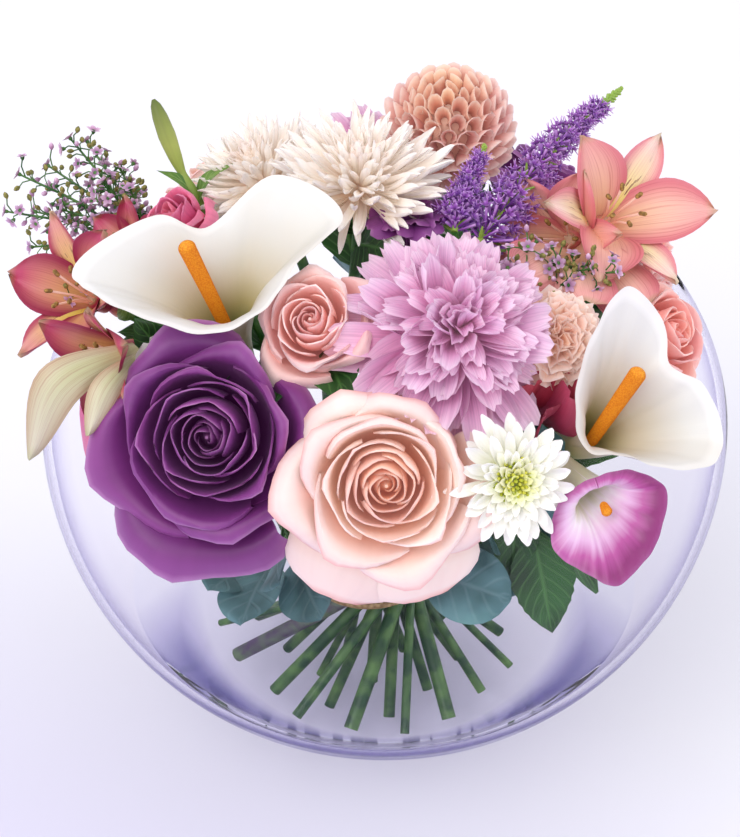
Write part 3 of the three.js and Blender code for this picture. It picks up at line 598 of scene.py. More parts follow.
# %% Leaf and stem finishes
def leaf_finish(name, dark, light, vein, roughness, coat=0.0, pitch=9, veins=0.55):
    material, tree, shader = new_material(name)
    along, across, tone, petal = marks_of(tree)
    wide = sum_of(tree, "ABSOLUTE", across, 0)
    slant = sum_of(tree, "MULTIPLY_ADD", wide, -0.28, along)
    wave = sum_of(tree, "SINE", sum_of(tree, "MULTIPLY", slant, pitch * 6.283), 0)
    side = ramp(tree, sum_of(tree, "MULTIPLY_ADD", wave, 0.5, 0.5), (0.82, (0, 0, 0)), (1.0, (0.7, 0.7, 0.7)))
    rib = ramp(tree, wide, (0.02, (1, 1, 1)), (0.1, (0, 0, 0)))
    lines = sum_of(tree, "MAXIMUM", side, rib)
    where = node(tree, "TexCoord")
    cloud = node(tree, "TexNoise")
    cloud.inputs["Scale"].default_value = 60
    tree.links.new(where.outputs["Object"], cloud.inputs["Vector"])
    body = ramp(tree, cloud.outputs["Fac"], (0.35, dark), (0.7, light))
    color = blend(tree, sum_of(tree, "MULTIPLY", lines, veins), body, vein)
    vary = node(tree, "HueSaturation")
    tree.links.new(sum_of(tree, "MULTIPLY_ADD", petal, 0.3, 0.85), vary.inputs["Value"])
    tree.links.new(color, vary.inputs["Color"])
    tree.links.new(vary.outputs["Color"], shader.inputs["Base Color"])
    bump = node(tree, "Bump", invert=True)
    bump.inputs["Strength"].default_value = 0.4
    bump.inputs["Distance"].default_value = 0.0005
    tree.links.new(lines, bump.inputs["Height"])
    tree.links.new(bump.outputs["Normal"], shader.inputs["Normal"])
    shader.inputs["Roughness"].default_value = roughness
    shader.inputs["Coat Weight"].default_value = coat
    return material


ROSE_LEAF = leaf_finish("rose_leaf", rgb("143c14"), rgb("2c6826"), rgb("5a9448"), 0.5, 0.1, 8)
EUCALYPTUS = leaf_finish("eucalyptus", rgb("2c5654"), rgb("6c9c9c"), rgb("a4c4c0"), 0.6, 0, 5, 0.15)
FRESH_LEAF = leaf_finish("fresh_leaf", rgb("3f6e28"), rgb("7c9c44"), rgb("a0bc68"), 0.5, 0, 6)


def stem_finish(name, low, high):
    material, tree, shader = new_material(name)
    where = node(tree, "TexCoord")
    parts = node(tree, "SeparateXYZ")
    tree.links.new(where.outputs["Object"], parts.inputs["Vector"])
    height = node(tree, "MapRange")
    height.inputs["From Min"].default_value = 0.03
    height.inputs["From Max"].default_value = 0.16
    tree.links.new(parts.outputs["Z"], height.inputs["Value"])
    color = ramp(tree, height.outputs["Result"], (0, low), (1, high))
    cloud = node(tree, "TexNoise")
    cloud.inputs["Scale"].default_value = 140
    tree.links.new(where.outputs["Object"], cloud.inputs["Vector"])
    spots = ramp(tree, cloud.outputs["Fac"], (0.4, (0, 0, 0)), (0.8, (0.6, 0.6, 0.6)))
    color = blend(tree, spots, color, rgb("84b45c"))
    tree.links.new(color, shader.inputs["Base Color"])
    shader.inputs["Roughness"].default_value = 0.45
    return material


STEM = stem_finish("stem", rgb("0f4420"), rgb("245c18"))
WOODY = stem_finish("woody_stem", rgb("4a3858"), rgb("6a5a48"))
BUD_GREEN = stem_finish("bud_green", rgb("4c7030"), rgb("9ab848"))
LILY_GREEN = petal_finish(
    "bud_lily",
    stops((0, "4c7828"), (0.55, "86a03c"), (0.8, "a8b458"), (1, "5c6c24")),
    stops((0, "4c7828"), (0.55, "86a03c"), (0.8, "a8b458"), (1, "5c6c24")),
    lines=3, strength=0.3,
)
print("greens done")

# %% [markdown]
# ## How a bent sheet gets its shape
# Most petals are straps: a middle line that leaves its root at an angle and bends, a width that changes
# along it, edges that rise to a hollow, and perhaps a notch or a ripple at the tip. One bend with those
# few sizes serves chrysanthemums, tepals, sepals and florets. Leaves, and rose petals, which wrap
# round a bud, have bends of their own, further down.

# %% Straps
def rounded(u, start=0.8, root=0.3):
    """A width that grows quickly from its root and is round at the tip."""
    body = root + (1 - root) * np.sin(np.pi / 2 * np.minimum(1, u / 0.6))
    tip = np.sqrt(np.clip(1 - (np.clip(u - start, 0, 1) / (1.02 - start)) ** 2, 0.02, 1))
    return body * tip


def pointed(u, widest=0.5, root=0.25):
    below = root + (1 - root) * np.sin(np.pi / 2 * np.minimum(1, u / widest))
    above = np.cos(np.pi / 2 * np.clip((u - widest) / (1.01 - widest), 0, 1)) ** 0.8
    return np.where(u < widest, below, np.maximum(above, 0.03))


def strap(
    rows, columns, start, climb, curl, length, half,
    cup=0.2, notch=0.0, ripple=0.0, phase=0.0, turn=0.0, sway=0.0, twist=0.0,
):
    """A petal from start = (radius, height), in the XZ plane. Angles are in degrees."""
    u, v = flat_grid(rows, columns)
    reach = length * (1 + notch * np.cos(3 * np.pi * v) * u**4 - 0.06 * v * v * u)
    angle = np.radians(climb + curl * u)
    step = reach / rows
    x = np.cumsum(np.cos(angle) * step, axis=0) - np.cos(angle[:1]) * step[:1]
    z = np.cumsum(np.sin(angle) * step, axis=0) - np.sin(angle[:1]) * step[:1]
    wide = half(u) if callable(half) else half * rounded(u)
    aside = wide * v * (1 - 0.15 * cup * v * v)
    lift = cup * wide * v * v + ripple * u**2 * np.sin(5 * v + phase) + twist * u * aside
    x = start[0] + x - np.sin(angle) * lift
    z = start[1] + z + np.cos(angle) * lift
    y = aside + sway * length * u**2
    if turn:
        x, y = x * math.cos(turn) - y * math.sin(turn), x * math.sin(turn) + y * math.cos(turn)
    return np.stack([x, y, z], axis=2)


# %% Tubes along a path
def curve_through(points, count, closed=False):
    """A smooth line through points, which slows down where they are close together."""
    points = [np.array(point, dtype=float) for point in points]
    spans = len(points) if closed else len(points) - 1
    if closed:
        row = [points[-1], *points, points[0], points[1]]
    else:
        row = [2 * points[0] - points[1], *points, 2 * points[-1] - points[-2]]
    made = []
    for place in np.linspace(0, spans, count, endpoint=not closed):
        i = min(int(place), spans - 1)
        a, b, c, d = row[i : i + 4]
        gaps = [max(np.linalg.norm(q - p), 1e-4) ** 0.5 for p, q in ((a, b), (b, c), (c, d))]
        one, two, three = np.cumsum(gaps)
        t = one + (place - i) * (two - one)
        ab = a + (b - a) * t / one
        bc = b + (c - b) * (t - one) / (two - one)
        cd = c + (d - c) * (t - two) / (three - two)
        left, right = ab + (bc - ab) * t / two, bc + (cd - bc) * (t - one) / (three - one)
        made.append(left + (right - left) * (t - one) / (two - one))
    return np.array(made)


def tube(growth, path, radii, sides=10, **marks):
    """A closed tube along a path."""
    path = np.asarray(path, dtype=float)
    heading = np.gradient(path, axis=0)
    heading /= np.linalg.norm(heading, axis=1, keepdims=True)
    side = np.cross(heading[0], [0.0, 0.3, 1.0] if abs(heading[0][2]) < 0.9 else [1.0, 0.2, 0.0])
    rings = []
    angles = np.linspace(0, 2 * np.pi, sides, endpoint=False)
    radii = np.broadcast_to(radii, len(path))
    for point, forward, radius in zip(path, heading, radii):
        side = unit(side - forward * np.dot(side, forward))
        other = np.cross(forward, side)
        ring = np.outer(np.cos(angles), side) + np.outer(np.sin(angles), other)
        rings.append(point + radius * ring)
    growth.skin(rings, **marks)


def lathe(growth, profile, sides=24, **marks):
    """A closed body turned about Z from (radius, height) pairs, foot first."""
    angles = np.linspace(0, 2 * np.pi, sides, endpoint=False)
    circle = np.stack([np.cos(angles), np.sin(angles), np.zeros(sides)], axis=1)
    growth.skin([r * circle + [0, 0, z] for r, z in profile], **marks)


def bezier(p0, p1, p2, p3, t):
    t = np.asarray(t)[..., None] if np.ndim(p0) else np.asarray(t)
    return (1 - t) ** 3 * p0 + 3 * (1 - t) ** 2 * t * p1 + 3 * (1 - t) * t * t * p2 + t**3 * p3


# %% [markdown]
# ## The stems
# A florist lays each stem at a slant across the last, so the bunch is a spiral that opens both above
# and below its tie. Each stem here is a straight line of one twisted bunch up to the tie, where the
# stems are packed side by side, and above the tie it bends to its bloom. The tables give where each
# bloom sits, which way it faces, and its stem's radius.

# %% The tables of the bouquet
GAP = 0.3  # between two pieces that touch
# the radii at the middle and the foot, half the height of the narrower upper part, the rim's height
BOWL = {"radius": 127, "foot": 48, "shoulder": 96, "rim": 164, "wall": 3.4, "base": 8}
MIDDLE = math.sqrt(BOWL["radius"] ** 2 - BOWL["foot"] ** 2)  # height of the widest place
WATER_LEVEL = 42
WAIST = np.array([-6.0, -12.0, 56.0])  # middle of the bunch where it is tied
TWIST = 0.072  # how far a stem slants for each millimetre that it lies off that middle
BETWEEN = 1.85  # room between two stems at the tie
PACKING_ROUNDS = 3000
DRAW_IN = 0.999  # what is left of a stem's distance from the middle after each round
STEM_STEPS = 30  # steps of a stem between the tie and its bloom
CLEAR_OF_GLASS = 1.2  # room between a stem's cut end and the wall

# name: heart, (azimuth, climb) of its face, depth from heart to seat, stem radius, calyx radius
BLOOMS = {
    "rose_purple": ((-59, -119, 195), (-10, 30), 36, 2.9, 6),
    "rose_blush": ((0, -139, 190), (2, 26), 34, 2.9, 6),
    "rose_peach": ((-25.5, -90.5, 224), (-10, 48), 27, 2.6, 6),
    "rose_coral": ((101, -62, 200), (64, 34), 26, 2.6, 6),
    "rose_purple_back": ((65, 65, 191), (135, 53), 28, 2.9, 6),
    "rose_blush_back": ((-65, 65, 191), (-135, 53), 28, 2.9, 6),
    "mum_lilac": ((23.5, -91, 221), (14, 53), 13, 2.3, 5),
    "mum_lilac_back": ((0, 72, 193), (180, 50), 13, 2.3, 5),
    "mum_white": ((42, -131, 186), (16, 24), 9, 1.8, 3.5),
    "spider_white_right": ((-9, -22, 242), (0, 82), 15, 2.2, 5),
    "spider_white_left": ((-48, 4, 228), (-80, 66), 15, 2.2, 5),
    "ball_peach": ((21, 14, 252), (-20, 80), 39, 2.4, 5),
    "alstroemeria_right": ((80, -36, 231), (46, 46), 24, 2.2, 3.5),
    "alstroemeria_left": ((-110, -48, 207), (-72, 34), 24, 2.2, 3.5),
    "alstroemeria_low": ((-101, -86, 194), (-55, 5), 24, 2.2, 3.5),
    "carnation_peach": ((59, -84, 212), (30, 42), 14, 2.2, 4.5),
    "carnation_coral": ((96, 16, 188), (100, 34), 16, 2.2, 4.5),
    "tulip_pink": ((-77, -24, 224), (-62, 54), 24, 2.4, 4),
}

# name: middle of the throat, base from there, throat radius, stem radius
CALLAS = {
    "calla_left": ((-54, -74, 214), (5, 11, -27), 6.5, 3.2),
    "calla_right": ((68.5, -99, 177), (-9, 19, -12.4), 6, 3.1),
    "calla_magenta": ((70, -121, 171), (-14, 24, -1), 5.5, 2.8),
}

# name: top of the stem, its radius
PLANTS = {
    "eucalyptus_right": ((34, -78, 131), 1.5),
    "eucalyptus_left": ((-40, -66, 132), 1.8),
    "eucalyptus_back": ((8, 66, 158), 1.8),
    "waxflower_left": ((-84, 6, 184), 1.6),
    "waxflower_right": ((46, -46, 198), 1.6),
    "veronica": ((26, -44, 210), 2),
    "lily_bud": ((-66, -4, 214), 2),
}


def facing(azimuth, climb):
    a, c = math.radians(azimuth), math.radians(climb)
    return np.array([math.sin(a) * math.cos(c), -math.cos(a) * math.cos(c), math.sin(c)])


# %% Lay the stems
def bowl_half(z, inset):
    return (BOWL["radius"] if z < MIDDLE else BOWL["shoulder"]) - inset


def wall_radius(z, inset):
    return (BOWL["radius"] - inset) * math.cos(math.asin((z - MIDDLE) / bowl_half(z, inset)))


stems = {}
for name, (heart, face, depth, radius, cup) in BLOOMS.items():
    arrive = facing(*face)
    seat = np.array(heart) - arrive * depth
    stems[name] = {"seat": seat, "arrive": arrive, "radius": radius, "top": seat - arrive * 4, "cup": cup}
for name, (throat, base, wide, radius) in CALLAS.items():
    arrive = unit(-np.array(base))
    top = np.array(throat) + base - arrive * GAP
    stems[name] = {"arrive": arrive, "radius": radius, "top": top, "cup": 0}
for name, (top, radius) in PLANTS.items():
    arrive = unit(unit(np.array(top) - WAIST) + [0, 0, 1])
    stems[name] = {"arrive": arrive, "radius": radius, "top": np.array(top, dtype=float), "cup": 0}


def pack_waist(tops, radii):
    """Where each stem crosses the tie: the bunch starts loose and is drawn together."""
    spots = []
    for x, y, z in tops:
        turn = TWIST * (z - WAIST[2])
        c, s = math.cos(-math.atan(turn)), math.sin(-math.atan(turn))
        dx, dy = x - WAIST[0], y - WAIST[1]
        scale = 2 / math.hypot(1, turn)
        spots.append([(dx * c - dy * s) * scale, (dx * s + dy * c) * scale])
    for _ in range(PACKING_ROUNDS):
        for i, a in enumerate(spots):
            for j in range(i + 1, len(spots)):
                b = spots[j]
                dx, dy = b[0] - a[0], b[1] - a[1]
                apart = radii[i] + radii[j] + BETWEEN
                if dx * dx + dy * dy >= apart * apart:
                    continue
                length = math.hypot(dx, dy)
                push = (apart - length) / 2 / length
                a[0] -= dx * push
                a[1] -= dy * push
                b[0] += dx * push
                b[1] += dy * push
            a[0] *= DRAW_IN
            a[1] *= DRAW_IN
    return spots


waist_spots = pack_waist([s["top"] for s in stems.values()], [s["radius"] for s in stems.values()])
for (name, stem), (x, y) in zip(stems.items(), waist_spots):
    waist = WAIST + [x, y, 0]
    slope = np.array([-TWIST * y, TWIST * x, 1])
    heading = unit(slope)
    lean = math.acos(heading[2])
    drop = stem["radius"] * math.sin(lean)
    z = BOWL["base"] + drop + GAP
    while True:
        end = waist + slope * (z - WAIST[2])
        out = math.hypot(end[0], end[1]) + stem["radius"] * math.cos(lean)
        if out < wall_radius(z - drop, BOWL["wall"]) - CLEAR_OF_GLASS - GAP:
            break
        z += 0.1
    reach = np.linalg.norm(waist - stem["top"])
    above = bezier(
        waist, waist + heading * reach * 0.4, stem["top"] - stem["arrive"] * reach * 0.28, stem["top"],
        np.linspace(0, 1, STEM_STEPS + 1),
    )
    below = np.linspace(end, waist, 7)[:-1]
    stem["path"] = np.concatenate([below, above])
    stem["above"] = above
print(len(stems), "stems, tied within", round(max(math.hypot(*spot) for spot in waist_spots), 1), "mm")

# %% [markdown]
# Below its bloom each stem ends in a green calyx with a few sepals, and some stems carry rose leaves.
# A rose leaf is a pointed sheet with a toothed edge, folded a little along its rib and arched to its
# tip. Extra leaves fill the dark gaps between the blooms, as a florist's greens do. Each is rooted on
# the stem that it grows from, and points out of the bunch. One stem at the front left is woody, and it
# is found as the stem whose foot lies furthest that way.

# %% Leaves
def leaf(growth, root, tip, up, width, outline, arch=0.12, fold=0.25, twist=0.0, rows=14, columns=6, **marks):
    root, tip = np.asarray(root, dtype=float), np.asarray(tip, dtype=float)
    along = tip - root
    length = np.linalg.norm(along)
    side = unit(np.cross(along, up))
    side = turn_about(along, twist) @ side
    face = unit(np.cross(side, along))
    u, v = flat_grid(rows, columns)
    half = width / 2 * outline(u, v)
    rise = arch * length * np.sin(np.pi * u) + fold * half * np.abs(v) ** 1.5
    rise += 0.03 * width * np.sin(9 * u + 2 * v) * np.abs(v)
    grid = root + u[..., None] * along + (half * v)[..., None] * side + rise[..., None] * face
    growth.sheet(grid, 0.6, **marks)


def toothed(u, v):
    body = np.sin(np.pi * np.clip(u, 0, 1) ** 0.8) ** 0.85
    saw = 1 - 0.1 * ((u * 9) % 1) * np.abs(v)
    return np.maximum(body * saw, 0.02)


def round_leaf(u, v):
    return np.sqrt(np.clip(1 - (2 * np.clip(u * 1.04 - 0.02, 0, 1) - 1) ** 2, 0.004, 1))


def lance(u, v):
    return np.maximum(np.sin(np.pi * u**0.8), 0.03)


def sepals(growth, stem, count, length, width, climb, curl, seed):
    rng = np.random.default_rng(seed)
    growth.place = stand(stem["top"] + stem["arrive"] * 1.5, stem["arrive"])
    for k in range(count):
        turn = 2 * math.pi * (k + rng.uniform(-0.15, 0.15)) / count
        grid = strap(
            7, 4, (stem["cup"] * 0.7, 0), climb + rng.uniform(-12, 12), curl, length,
            lambda u: width * pointed(u, 0.3, 0.8), 0.3, turn=turn,
        )
        growth.sheet(grid, 0.5, tone=0.6, petal=rng.random(), finish=1)
    growth.place = np.eye(4)


# stem: leaves as (place above the tie from 0 to 1, tip, width), on the solid model and extra ones
ROSE_LEAVES = {
    "rose_purple": [(0.8, (-84, -52, 168), 24), (0.62, (-58, -72, 128), 20), (0.85, (-88, -84, 168), 22)],
    "rose_blush": [(0.8, (-24, -106, 150), 22), (0.82, (26, -110, 156), 20)],
    "rose_peach": [
        (0.88, (-12, -108, 200), 26), (0.88, (-38, -104, 196), 24), (0.8, (0, -84, 206), 24),
    ],
    "rose_purple_back": [(0.8, (98, 44, 172), 26), (0.84, (44, 98, 166), 26), (0.7, (84, 74, 150), 26)],
    "rose_blush_back": [(0.8, (-98, 44, 172), 26), (0.84, (-44, 98, 166), 26), (0.7, (-84, 74, 150), 26)],
    "calla_magenta": [(0.6, (74, -86, 104), 28)],
    "rose_coral": [(0.75, (96, -20, 176), 26), (0.6, (92, -52, 152), 24)],
    "carnation_coral": [(0.82, (104, 34, 166), 26), (0.6, (92, 4, 156), 24), (0.7, (96, 44, 160), 24)],
    "alstroemeria_right": [(0.8, (84, -4, 200), 20), (0.7, (60, 12, 196), 22)],
    "mum_lilac": [(0.8, (46, -64, 190), 22), (0.86, (0, -62, 204), 22)],
    "mum_lilac_back": [(0.8, (30, 84, 168), 26), (0.8, (-32, 84, 168), 26), (0.6, (0, 92, 150), 26)],
    "spider_white_right": [(0.9, (-24, 0, 222), 20), (0.85, (8, -40, 214), 20), (0.8, (-18, 34, 200), 26)],
    "spider_white_left": [(0.85, (-60, 30, 206), 24), (0.8, (-84, 14, 196), 24), (0.85, (-38, 26, 212), 22)],
    "ball_peach": [(0.85, (40, 40, 206), 26), (0.8, (4, 44, 200), 26), (0.7, (24, 60, 184), 26)],
    "tulip_pink": [(0.85, (-98, -10, 196), 20), (0.7, (-88, 22, 176), 26), (0.6, (-96, -24, 166), 24)],
    "alstroemeria_left": [(0.8, (-98, -62, 176), 22), (0.7, (-94, -30, 176), 22)],
    "alstroemeria_low": [
        (0.75, (-86, -66, 160), 22), (0.93, (-84, -96, 190), 18), (0.95, (-84, -66, 206), 16),
    ],
    "calla_left": [(0.8, (-74, -58, 184), 22), (0.75, (-34, -80, 180), 22), (0.9, (-46, -96, 213), 16)],
    "calla_right": [(0.75, (52, -92, 150), 22), (0.7, (84, -64, 150), 24)],
    "carnation_peach": [(0.85, (62, -60, 190), 20), (0.8, (76, -72, 186), 22)],
}


# %% Stems with their calyx and leaves
woody = min(stems, key=lambda name: stems[name]["path"][0] @ [1, 0.6, 0])
print("the woody stem is", woody)


def smooth_path(path, count=40):
    lengths = np.concatenate([[0], np.cumsum(np.linalg.norm(np.diff(path, axis=0), axis=1))])
    at = np.linspace(0, lengths[-1], count)
    return np.stack([np.interp(at, lengths, path[:, k]) for k in range(3)], axis=1)


def draw_stem(growth, stem):
    path = smooth_path(stem["path"])
    radii = np.full(len(path), stem["radius"] * 0.95)
    radii[-6:] *= np.linspace(1, 1.1, 6)
    tube(growth, path, radii, 10, tone=0.5)


for number, (name, stem) in enumerate(stems.items()):
    if name in PLANTS:
        continue
    green = Growth()
    draw_stem(green, stem)
    if stem["cup"]:
        green.place = stand(stem["top"], stem["arrive"])
        cup = stem["cup"]
        calyx = [(0.6, -3), (cup * 0.55, -1.5), (cup * 0.95, 1), (cup, 3), (cup * 0.7, 3.8)]
        lathe(green, calyx, 16, finish=1)
        green.place = np.eye(4)
        if name.startswith("rose"):
            sepals(green, stem, 5, 20, 3.4, 10, 55, number)
        elif name.startswith(("mum", "spider", "ball")):
            sepals(green, stem, 14, 11, 2.2, 8, 30, number)
        elif name.startswith("carnation"):
            sepals(green, stem, 5, 13, 3.4, 60, 10, number)
    rng = np.random.default_rng(number)
    for share, tip, width in ROSE_LEAVES.get(name, []):
        joint = stem["above"][round(share * STEM_STEPS)]
        outward = unit([stem["top"][0], stem["top"][1], 0]) + [0, 0, 1]
        leaf(green, joint, tip, outward, width, toothed, 0.14, 0.3, rng.uniform(-0.5, 0.5),
             rows=18, tone=0.5, petal=rng.random(), finish=2)
    if name == "calla_magenta":
        for root, tip, width in (
            ((50, -94, 138), (57, -106, 103), 23),
            ((44, -90, 150), (43, -100, 122), 18),
        ):
            tube(green, [stem["above"][18], (stem["above"][18] + root) / 2, root], 0.8, 6)
            leaf(green, root, tip, (0, -0.7, 0.7), width, toothed, 0.06, 0.25, rows=20, petal=0.2, finish=2)
    if name == "carnation_peach":
        joint = stem["above"][28]
        leaf(green, joint, (49, -70, 217), (0, -0.6, 0.8), 8, lance, 0.1, 0.3, petal=0.5, finish=1)
    bark = WOODY if name == woody else STEM
    piece(name + "_green", green, [bark, FRESH_LEAF, ROSE_LEAF], [name + "_stem"])

# %% [markdown]
# ## Eucalyptus
# Silver-dollar eucalyptus has round leaves, almost coins, on a thin branching stem. The leaves of the
# solid model are kept at their places, with smaller ones between, each on a short stalk. One broad
# leaf lies across the stems under the blush rose, with its face to the front.

# %% Eucalyptus
COINS = {
    "eucalyptus_right": [
        (0.5, (26, -99, 104), 28), (0.83, (44, -99, 126), 24), (1.0, (32, -106, 150), 24),
        (0.6, (52, -84, 112), 22), (0.75, (12, -100, 124), 22), (0.9, (66, -86, 140), 20),
        (1.0, (47, -97, 187), 21), (1.0, (55, -92, 178), 19), (0.95, (60, -108, 160), 19),
        (0.8, (29, -112, 128), 26), (0.65, (17, -110, 118), 23),
    ],
    "eucalyptus_left": [
        (0.67, (-50, -96, 98), 26), (0.83, (-22, -100, 104), 24), (1.0, (-72, -76, 150), 26),
        (0.5, (-62, -80, 100), 22), (0.75, (-36, -104, 124), 20), (0.95, (-84, -58, 136), 20),
    ],
    "eucalyptus_back": [
        (0.83, (-36, 90, 160), 28), (0.83, (42, 88, 160), 28), (1.0, (8, 104, 156), 28),
        (0.6, (-20, 92, 130), 26), (0.7, (30, 96, 136), 26), (0.5, (4, 84, 112), 24),
    ],
}
for name, coins in COINS.items():
    stem = stems[name]
    sprig = Growth()
    draw_stem(sprig, stem)
    rng = np.random.default_rng(len(name) + ord(name[-1]))
    outward = unit([stem["top"][0], stem["top"][1], 0]) + [0, 0, 0.6]
    for share, tip, width in coins:
        joint = stem["above"][round(share * STEM_STEPS)]
        tip = np.array(tip, dtype=float)
        length = np.linalg.norm(tip - joint)
        root = tip + unit(joint - tip) * min(width * 1.05, length * 0.9)
        tube(sprig, [joint, (joint + root) / 2 + [0, 0, 1], root + unit(tip - root) * 2], 0.7, 6, finish=0)
        leaf(sprig, root, tip, outward, width, round_leaf, 0.05, 0.16, rng.uniform(-0.35, 0.35),
             rows=14, columns=8, petal=rng.random(), finish=1)
    if name == "eucalyptus_right":
        tube(sprig, [stem["above"][16], (6, -92, 126), (14, -108, 132)], 0.7, 6, finish=0)
        leaf(sprig, (13, -108, 132), (42, -114, 124), (0, -0.75, 0.65), 26, round_leaf, 0.05, 0.16,
             rows=14, columns=8, petal=0.8, finish=1)
    piece(name + "_sprig", sprig, [WOODY if name == woody else STEM, EUCALYPTUS], [name])

# %% [markdown]
# ## Roses
# A rose's petals leave one bud in a spiral, each a golden angle further round than the last. The inner
# ones are narrow cones wrapped round each other, and each ring opens further, until the outer petals
# lie nearly flat with their rims rolled back to a soft point. Each petal's right edge lies outside its
# neighbour's left one, so few cross. The bend wraps a flat grid round the bud, with a profile curve
# for how it opens. Two loose guard petals hang below the blush rose, each a broad sheet through three
# places.

# %% Roses
def away_from(stem, pull):
    """The angle about a bloom's own axis that points along a direction of the room."""
    local = stand((0, 0, 0), stem["arrive"])[:3, :3].T @ np.array(pull, dtype=float)
    return math.atan2(local[1], local[0])


GOLDEN = 2.399963  # the golden angle in radians
OPENING = (0, 0.2, 0.4, 0.6, 0.8, 1)


def rose_petal(t, reach, depth, rng, turn, open_out=1.0):
    """t is 0 for the innermost petal and 1 for the outermost."""
    u, v = flat_grid(14, 14)
    wide = math.radians(110 - 60 * t**0.6) * (0.42 + 0.58 * np.sin(np.pi * np.minimum(0.56, u * 0.72)))
    lip = reach * np.interp(t, OPENING, (0.04, 0.14, 0.29, 0.48, 0.74, 1.0)) * rng.uniform(0.95, 1.06)
    bulge = reach * np.interp(t, OPENING, (0.1, 0.21, 0.35, 0.48, 0.58, 0.66))
    lip = bulge + (lip - bulge) * open_out if lip > bulge else lip
    height = depth * np.interp(t, OPENING, (0.9, 0.99, 1.0, 0.98, 0.86, 0.66)) * rng.uniform(0.97, 1.03)
    roll = t**1.6
    radius = bezier(2.0, bulge * 0.95, bulge * (1.08 + 0.1 * roll), lip, u)
    rise = bezier(1.0, height * 0.08, height * (0.72 + 0.36 * roll), height, u)
    fall = np.abs(v) ** 2.4
    rise = rise - depth * (0.13 + 0.02 * roll) * u**2 * v * v
    radius = radius - max(0, lip - 0.8 * bulge) * 0.4 * fall * u**3 + v * (1.0 + 1.1 * t) * u
    rolled = np.clip((u - 0.72) / 0.28, 0, 1) ** 2
    rise = rise - rolled * depth * (0.03 + 0.16 * roll) * (1 + 0.8 * v * v)
    radius = radius + rolled * reach * 0.035 * (0.3 + roll)
    radius = radius + np.exp(-((v / 0.2) ** 2)) * u**6 * reach * 0.09 * t
    a, b = rng.uniform(0, 6.28, 2)
    wave = u**3 * (0.3 + roll * 1.9)
    radius = radius + wave * reach * 0.024 * np.sin(4.2 * v + a) + 0.16 * np.sin(15 * v + b) * u**5 * t
    rise = rise + wave * reach * 0.04 * np.sin(3.9 * v + b) + 0.2 * np.sin(17 * v + a) * u**4 * t
    angle = v * wide + turn
    return np.stack([radius * np.cos(angle), radius * np.sin(angle), rise], axis=2)


def rose(name, reach, depth, petals, seed, open_out=1.0, pull=None, amount=0.0):
    """pull and amount: the outer petals are longer towards this direction of the room."""
    growth = Growth()
    rng = np.random.default_rng(seed)
    toward = away_from(stems[name], pull) if pull else 0
    for k in range(petals):
        t = (k + 0.3) / (petals - 0.7)
        turn = k * GOLDEN + rng.uniform(-0.12, 0.12)
        longer = 1 + amount * math.cos(turn - toward) * t**2
        petal = rose_petal(t, reach * longer, depth, rng, turn, open_out)
        growth.sheet(petal, 0.55, tone=t, petal=rng.random())
    lathe(growth, [(1, 0.5), (reach * 0.1, 2), (reach * 0.12, depth * 0.5), (0.5, depth * 0.8)], 14, tone=0.0)
    return growth


def set_bloom(growth, name):
    """Moves a finished growth onto its stem."""
    stem = stems[name]
    matrix = stand(stem["seat"], stem["arrive"])
    growth.points = [p @ matrix[:3, :3].T + matrix[:3, 3] for p in growth.points]
    return growth


def loose_petal(growth, root, middle, tip, width, face, finish, petal=0.5, tone=0.8):
    """One broad petal through three places, hollow towards a direction."""
    line = curve_through([root, middle, tip], 13)
    u, v = flat_grid(12, 8)
    across = unit(np.cross(line[-1] - line[0], face))
    hollow = unit(np.cross(across, line[-1] - line[0]))
    half = width / 2 * rounded(u, 0.72, 0.25)
    bent = line[:, None, :] + (v * half)[..., None] * across - (0.35 * half * v * v)[..., None] * hollow
    ripple = 0.6 * np.sin(6 * v + 9 * petal) * u**3
    growth.sheet(bent + ripple[..., None] * hollow, 0.5, tone=tone, petal=petal, finish=finish)


# name: reach, depth, petals, seed, how open, pull and its amount, finish, slot
ROSES = {
    "rose_purple": (39, 37, 29, 3, 1.0, (-0.5, 0, -1), 0.17, PURPLE, "petal_purple"),
    "rose_blush": (35, 35, 28, 8, 1.0, (0, 0, -1), 0.17, BLUSH, "petal_blush"),
    "rose_peach": (22, 27, 22, 5, 0.85, (0.4, 0, -1), 0.14, PEACH_ROSE, "petal_peach"),
    "rose_coral": (22, 26, 22, 6, 0.85, (1, 0, -0.7), 0.12, CORAL, "petal_coral"),
    "rose_purple_back": (31, 29, 26, 11, 1.0, None, 0, PURPLE, "petal_purple"),
    "rose_blush_back": (31, 29, 26, 12, 1.0, None, 0, BLUSH, "petal_blush"),
}
# the middle and the tip of each guard petal
GUARD_PETALS = [((-10, -127, 158), (-17, -127, 135)), ((8, -128, 158), (13, -128, 136))]
for name, (reach, depth, petals, seed, open_out, pull, amount, finish, slot) in ROSES.items():
    bloom = set_bloom(rose(name, reach, depth, petals, seed, open_out, pull, amount), name)
    if name == "rose_blush":
        for k, (middle, tip) in enumerate(GUARD_PETALS):
            loose_petal(bloom, (-1, -109, 174), middle, tip, 42, (0, -0.9, 0.3), 0, 0.3 + 0.4 * k, 1.0)
    piece(name, bloom, [finish], [name + "_petals"])

# %% [markdown]
# ## Chrysanthemums
# A chrysanthemum is a head of many florets. They follow the golden angle, which packs them evenly, and
# each is one strap: nearly upright at the heart and flatter outside. The lilac bloom has broad hollow
# florets with fringed tips, the two blush ones have slim florets that curve in, and the small white one
# opens flat round a green button.

